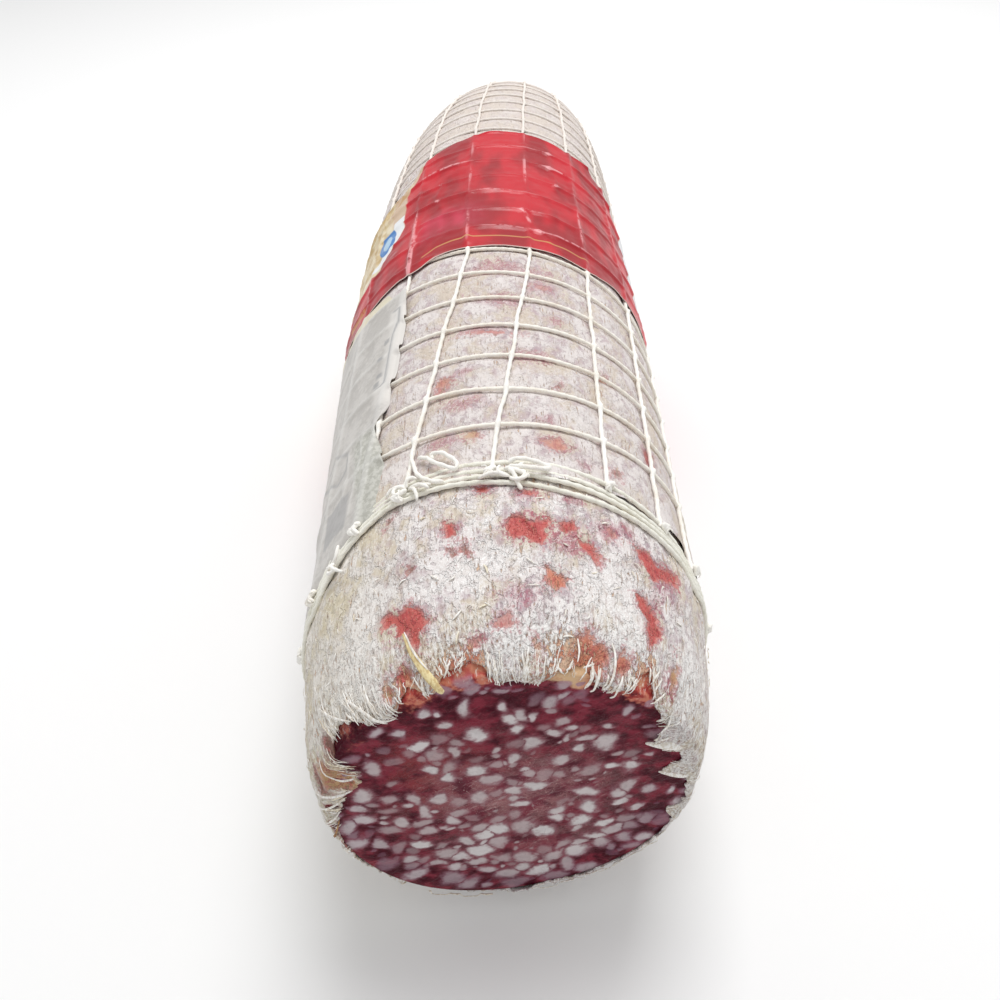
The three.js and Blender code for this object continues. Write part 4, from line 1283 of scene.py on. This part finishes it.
knots += tuft(-89.4, -24.5, 6, 41) + tuft(-91.6, 2.6, 5, 42) + tuft(-98, -50, 4, 43)
make_tubes("knots", knots, white_cord, "net")


def tie_cords():
    """The tied end: the strings rise over the pole into a neck, four turns of cord bind
    it, and the cut ends flare."""
    pole = body_point(np.array([end_place]), np.zeros(1), 0)[0]
    ways = []
    for index in range(strings):
        rng = np.random.default_rng(300 + index)
        flare = rng.uniform(3.2, 5.4)
        top = rng.uniform(10.5, 13)
        outline = [(13, -3.2), (9.5, -0.4), (6.2, 1.6), (3.4, 3.6), (2.7, 6)]
        reach, height = curve_through([*outline, (flare * 0.8, 8.6), (flare, top)], 6).T
        turn = first_string + index * 2 * np.pi / strings + 0.05 * height
        ways.append((reach, height, turn, 0.62, 0.3))
    turn = np.linspace(0, 8 * np.pi, 160)
    ways.append((3.7, 4.6 + 2.6 * turn / turn[-1], turn, 0.6, 0.0))
    cords = []
    for reach, height, turn, radius, rise in ways:
        path = pole + np.stack([reach * np.sin(turn), height, reach * np.cos(turn)], -1)
        cords.append(cord(path, turn, radius, pitch=3.2, sides=7, rise=rise))
    return cords


make_tubes("tie", tie_cords(), white_cord, "net")

# The red paper band. One glossy printed sheet wrapped round over the net, drawn in at its
# far edge by the rings beneath. It shows their ridges, creases and a pale printed panel.
band_near = [
    (-157, -1.5), (-90, -5), (-55, -5.2), (-46, -4.2), (-41, -3.2), (-34, -2), (-29, -2.2), (-25, -1),
    (-20, 1.5), (-10, 2.8), (2, 3), (13, 3.2), (23, 3.9), (34, 3.4), (50, 7.2), (90, 7.4), (161, 2),
]
band_far = [
    (-157, 66), (-48, 66), (-40, 70), (-36, 73), (-31, 82), (-26, 87), (-16, 90), (-7, 91), (2, 92),
    (9.5, 94), (13, 91.3), (32, 90.6), (45, 91.5), (48, 88), (55, 87), (58, 83), (63, 73), (161, 73),
]

# Creases in the paper, each as places and degrees along it.
band_creases = [
    [(25, -26), (21, -28), (15, -28), (13, -30), (5.8, -30), (-1.2, -30)],
    [(29, 11), (24, 12), (20, 14), (15.5, 16), (12.8, 18), (11, 20)],
    [(60, -22), (52, -20), (44, -22), (36, -20)],
    [(84, 22), (76, 24), (66, 23), (58, 26), (50, 25)],
]
band_radius = 47
mm_per_degree = 0.8


def near_line(place, angle, stops, reach):
    """1 on the line through the stops, falling off over the reach in millimetres."""
    here = unrolled(place, angle, band_radius)
    return bell(line_distance(here, unrolled_stops(stops, band_radius)) / reach)


def make_sheet(name, node, finish, surface, thickness, values):
    """A thin closed sheet over the skin from its places, angles and lifts: the outside, the
    inside turned round, and its four edges."""
    place, angle, lift = surface
    rows, columns = place.shape
    outside = grid_faces(rows, columns, closed=False)
    count = rows * columns
    first = np.arange(columns)
    last = (rows - 1) * columns + first
    left = np.arange(rows) * columns
    right = left + columns - 1
    edge = np.concatenate([first, right[1:], last[::-1][1:], left[::-1][1:-1]])
    beside = np.roll(edge, -1)
    faces = [outside, outside[:, ::-1] + count, np.stack([edge, edge + count, beside + count, beside], -1)]
    points = np.stack([body_point(place, angle, lift), body_point(place, angle, lift - thickness)])
    values = {key: np.tile(value.ravel(), 2) for key, value in values.items()}
    make_piece(name, points, faces, finish, node, values)


def make_band():
    """Rows from the near edge to the far one, columns from one lower side over the top to
    the other. The lift follows the cords beneath: highest over them, sagging between."""
    rows = 118
    columns = 396
    around = np.radians(np.linspace(band_near[0][0], band_near[-1][0], columns))[None, :]
    degrees = np.degrees(around) + np.zeros((rows, 1))
    start = np.interp(degrees, *np.transpose(band_near))
    stop = np.interp(degrees, *np.transpose(band_far))
    place = start + (stop - start) * np.linspace(0, 1, rows)[:, None]
    angle = around + np.zeros_like(place)
    flat = body_point(place, angle, 0)
    wander = unevenness(flat, 11, 103)
    over_string = bell(string_gap(place, angle, full_radius) / 1.0) * (0.75 + 0.5 * wander)
    over_ring = bell(ring_gap(place) / 0.9) * (0.75 - 0.5 * wander)
    ridge = np.maximum(over_ring, over_string)
    tucked = 1 - 0.7 * smooth((3 - (place - start)) / 3)
    lift = 1.2 + (0.75 * ridge + 0.2 * over_ring * over_string) * tucked
    lift = lift + 0.26 * unevenness(flat, (9, 7, 9), 101) + 0.15 * unevenness(flat, (3, 2.2, 3), 102)
    crease = sum(near_line(place, angle, stops, 0.8) for stops in band_creases)
    lift = np.clip(lift + 0.34 * crease, 1.0, 2.35)

    art_places = [18, 23, 26.5, 32, 36.5, 42, 56, 63, 71, 79.5]
    art_degrees = [-46, -44, -41, -38, -36, -37, -37, -38, -34, -31]
    inside = (np.interp(place, art_places, art_degrees) - degrees) * mm_per_degree
    panel = np.minimum.reduce([inside, place - 17, (degrees + 118) * mm_per_degree])
    strip = np.minimum.reduce([panel, 5 - inside, place - 19, 47 - place])
    sides = [(degrees - 68) * mm_per_degree, (98 - degrees) * mm_per_degree]
    sliver = np.minimum.reduce([*sides, place - 26, 68 - place])
    values = {
        "across": degrees,
        "along": place - start,
        "panel": np.maximum(panel, sliver),
        "strip": np.maximum(strip, sliver),
        "oval": np.hypot((place - 34.5) / 8, (degrees + 45) * mm_per_degree / 3.4),
        "ridge": ridge + 0.6 * crease,
        "gilt": smooth((place - 56) / 4) * smooth((-36 - degrees) / 3) * smooth((80 - place) / 3),
    }
    surface = (place, angle, lift)
    make_sheet("red_band", "label_band", band_finish(), surface, thickness=0.14, values=values)


def band_finish():
    """Coated paper printed in strong red, with a pink sheen painted on the left of its top, and
    pale pink along its ridges that is partly rubbed print and partly painted highlight; with a
    pale printed panel on the left, a white strip and a blue oval on it, and gold lines by the
    near edge."""
    finish = Finish("red paper", {"Specular IOR Level": 0.42})
    across, along, pale, strip, oval, ridge, gilt = finish.attributes(
        "across", "along", "panel", "strip", "oval", "ridge", "gilt"
    )
    rub = finish.grain((3.4, 5.0, 3.4), 3, 0.55)
    fine = finish.grain((0.9, 1.4, 0.9), 3, 0.6, 2.0)
    soft = finish.grain((10.0, 26.0, 10.0), 2, 0.5, 5.0)
    glow = soft.between(0.4, 0.6)
    # Painted sheen: a pink reflection painted over the left of the top, where the glossy paper would catch
    # the light.
    painted_sheen = across.between(-30, -22) * across.between(2, -8) * along.between(10, 18) * along.between(36, 24)
    # Pale pink on the ridges: partly print rubbed off, partly a painted highlight where the ridges would
    # catch the light.
    worn = ridge.between(0.62, 1.0) * (rub * 0.6 + fine * 0.4).between(0.4, 0.52)
    red = finish.layers(
        finish.blend((160, 6, 24), (202, 22, 40), glow),
        # the painted sheen
        ((216, 84, 116), painted_sheen * (0.3 + 0.7 * glow) * 0.5),
        # the ridges, partly rubbed print and partly painted highlight
        ((246, 176, 180), worn * 0.75),
    )
    printed = finish.layers(
        finish.blend((204, 176, 126), (234, 222, 192), (soft * 0.5 + rub * 0.5).between(0.42, 0.58)),
        ((206, 166, 84), gilt * rub.between(0.44, 0.56) * 0.7),
        ((170, 96, 80), soft.between(0.56, 0.64) * 0.4),
        ((236, 238, 240), strip.between(-0.3, 0.5)),
    )
    line = along.between(6.0, 6.3) * along.between(7.0, 6.7)
    line = line * across.between(-26, -25) * across.between(36, 35)
    short = along.between(4.6, 5.0) * along.between(7.0, 6.6)
    short = short * across.between(-68, -66) * across.between(-52, -54)
    colour = finish.layers(
        red,
        (printed, pale.between(-0.4, 0.4)),
        ((172, 204, 228), oval.between(0.9, 0.8)),
        ((72, 130, 196), oval.between(1.1, 1.0) * oval.between(0.5, 0.62)),
        ((206, 152, 96), line * 0.8 + short * rub.between(0.46, 0.54) * 0.7),
        ((240, 214, 206), along.between(0.5, 0.1)),
    )
    return finish.complete(colour, rub * 0.1 + fine * 0.04, 0.22 + 0.26 * rub)


make_band()

# The side label. A clear sticky film with a pale printed field, pressed over the net down
# the left side, where it wrinkles between the strings.
film_right = [
    (-91, -34), (-84, -34), (-79, -34), (-73.5, -34), (-68, -36), (-62, -38), (-59.5, -37),
    (-54.5, -34), (-49.8, -34), (-43, -32), (-34.8, -31), (-26, -30), (-18, -30), (-9.5, -30),
]
film_left = -103

# Folds in the film with their half widths, and the printed frame and oval, as places and
# degrees along each.
film_folds = [
    ([(-62, -44), (-70, -43), (-78, -45), (-86, -46)], 0.7),
    ([(-66, -38), (-72, -40), (-80, -40)], 0.6),
    ([(-64, -50), (-72, -49), (-82, -51)], 0.6),
]
frame_stops = [(-17, -35), (-17.8, -32), (-24, -32), (-29, -34), (-37, -35), (-47.8, -36), (-47.5, -40)]
oval_stops = [(-63.5, -51), (-57.5, -62), (-57.5, -68), (-62, -71), (-70.5, -56), (-69, -51), (-63.5, -51)]


def make_film():
    """Rows from the bunch to the band's edge, columns from below the side up to beside the
    top. The lift follows the cords, with long folds, and the values mark what is printed."""
    rows = 170
    columns = 110
    t = np.linspace(0, 1, rows)[:, None]
    s = np.linspace(0, 1, columns)[None, :]
    right = np.interp(-90 + 81 * t, *np.transpose(film_right))
    degrees = film_left + (right - film_left) * s
    angle = np.radians(degrees)
    low = bunch_place + np.maximum(bunch_shift(angle), -11)
    high = -9.6 + 4.0 * smooth((-36 - degrees) / 3)
    place = low + (high - low) * t
    flat = body_point(place, angle, 0)
    ridge = np.maximum(bell(ring_gap(place) / 1.4) * 0.8, bell(string_gap(place, angle, ring_radius) / 1.5))
    lift = 1.22 + 0.5 * ridge
    lift = lift + 0.2 * unevenness(flat, (3, 14, 3), 111) + 0.06 * unevenness(flat, 1.6, 112)
    fold = sum(near_line(place, angle, stops, reach) for stops, reach in film_folds)
    lift = np.clip(lift + 0.34 * fold, 1.0, 2.2) - 0.8 * smooth((2.4 + low - place) / 2.4)
    lift = lift - 0.7 * smooth((s - 0.94) / 0.06) * (1 - smooth(ridge / 0.5))

    marks = [near_line(place, angle, frame_stops, 0.42) * 0.8]
    marks.append(near_line(place, angle, oval_stops, 0.42) * 0.7)
    for square_place, square_degrees in ((-29.5, -37), (-35.8, -39), (-42.5, -39), (-45.8, -40)):
        aside = np.abs(degrees - square_degrees) * mm_per_degree
        reach = np.maximum(np.abs(place - square_place), aside)
        marks.append(smooth((1.15 - reach) / 0.4) * 0.7)
    sides = [(degrees + 60) * mm_per_degree, (-47 - degrees) * mm_per_degree]
    block = np.minimum.reduce([*sides, place + 89, -78 - place])
    values = {
        "pale": smooth((degrees - right + 8) / 3) * smooth((place + 57) / 4) * smooth((-15 - place) / 3),
        "clear": smooth((degrees + 50 + 0.25 * (place + 62)) / 3) * smooth((-61 - place) / 3),
        "printed": np.maximum.reduce(marks),
        "block": smooth(block / 0.5),
        "straw": smooth((place + 11) / 1.2) * smooth((-35 - degrees) / 2),
        "ridge": ridge + fold,
    }
    surface = (place, angle, lift)
    make_sheet("film_label", "side_label", film_finish(), surface, thickness=0.12, values=values)


def film_finish():
    """Film printed with a pale grey field, thin frame lines, small marks and a grey block,
    greenish where it is bare, and whiter where it is drawn tight over the cords."""
    finish = Finish("film label", {"Roughness": 0.42, "Specular IOR Level": 0.4})
    pale, clear, printed, block, straw, ridge = finish.attributes(
        "pale", "clear", "printed", "block", "straw", "ridge"
    )
    soft = finish.grain(7.0, 3, 0.55)
    fine = finish.grain(1.2, 3, 0.6, 2.0)
    bare = finish.blend((178, 177, 168), (200, 199, 191), fine.between(0.42, 0.58))
    colour = finish.layers(
        finish.blend((188, 184, 179), (205, 201, 196), (soft * 0.6 + fine * 0.4).between(0.42, 0.58)),
        ((224, 220, 215), pale * 0.8),
        (bare, clear),
        ((232, 222, 190), straw * 0.7),
        ((244, 243, 240), ridge.between(0.35, 1.0) * 0.26),
        ((148, 148, 150), printed + block * 0.55),
    )
    return finish.complete(colour, soft * 0.1 + fine * 0.1)


make_film()

# The studio: a plain pale floor, an even white surround, a large soft lamp overhead and a
# camera that looks down along the salami from in front of the cut.
bpy.ops.mesh.primitive_plane_add(size=4, location=(0, 0, -0.0002))
floor = bpy.context.object
floor.name = "floor"
floor_paint = Finish("floor", {"Roughness": 0.9, "Specular IOR Level": 0.1})
floor_paint.complete(paint(247, 247, 247))
floor.data.materials.append(floor_paint.material)

world = bpy.data.worlds.new("surround")
bpy.context.scene.world = world
world.use_nodes = True
world.node_tree.nodes["Background"].inputs["Color"].default_value = (1, 1, 1, 1)
world.node_tree.nodes["Background"].inputs["Strength"].default_value = 0.62


def soft_lamp(name, place, aim, size, power):
    """A square lamp that faces the point it is aimed at."""
    lamp = bpy.data.lights.new(name, "AREA")
    lamp.size = size
    lamp.energy = power
    holder = bpy.data.objects.new(name, lamp)
    bpy.context.scene.collection.objects.link(holder)
    direction = Vector(aim) - Vector(place)
    turned = direction.to_track_quat("-Z", "Y").to_matrix().to_4x4()
    holder.matrix_world = Matrix.Translation(place) @ turned


soft_lamp("overhead", (0.12, 0.35, 1.1), (0, 0, 0.05), 0.6, 8.4)

camera_data = bpy.data.cameras.new("camera")
camera_data.lens = 29.2
camera_data.sensor_width = 36
camera_data.clip_start = 0.01
camera = bpy.data.objects.new("camera", camera_data)
bpy.context.scene.collection.objects.link(camera)
camera.matrix_world = Matrix(
    (
        (0.9994, 0.03557, 0.00204, -0.00097),
        (-0.0229, 0.6863, -0.7269, -0.26275),
        (-0.02725, 0.7264, 0.6867, 0.19835),
        (0, 0, 0, 1),
    )
)
bpy.context.scene.camera = camera
bpy.context.scene.view_settings.view_transform = "Standard"
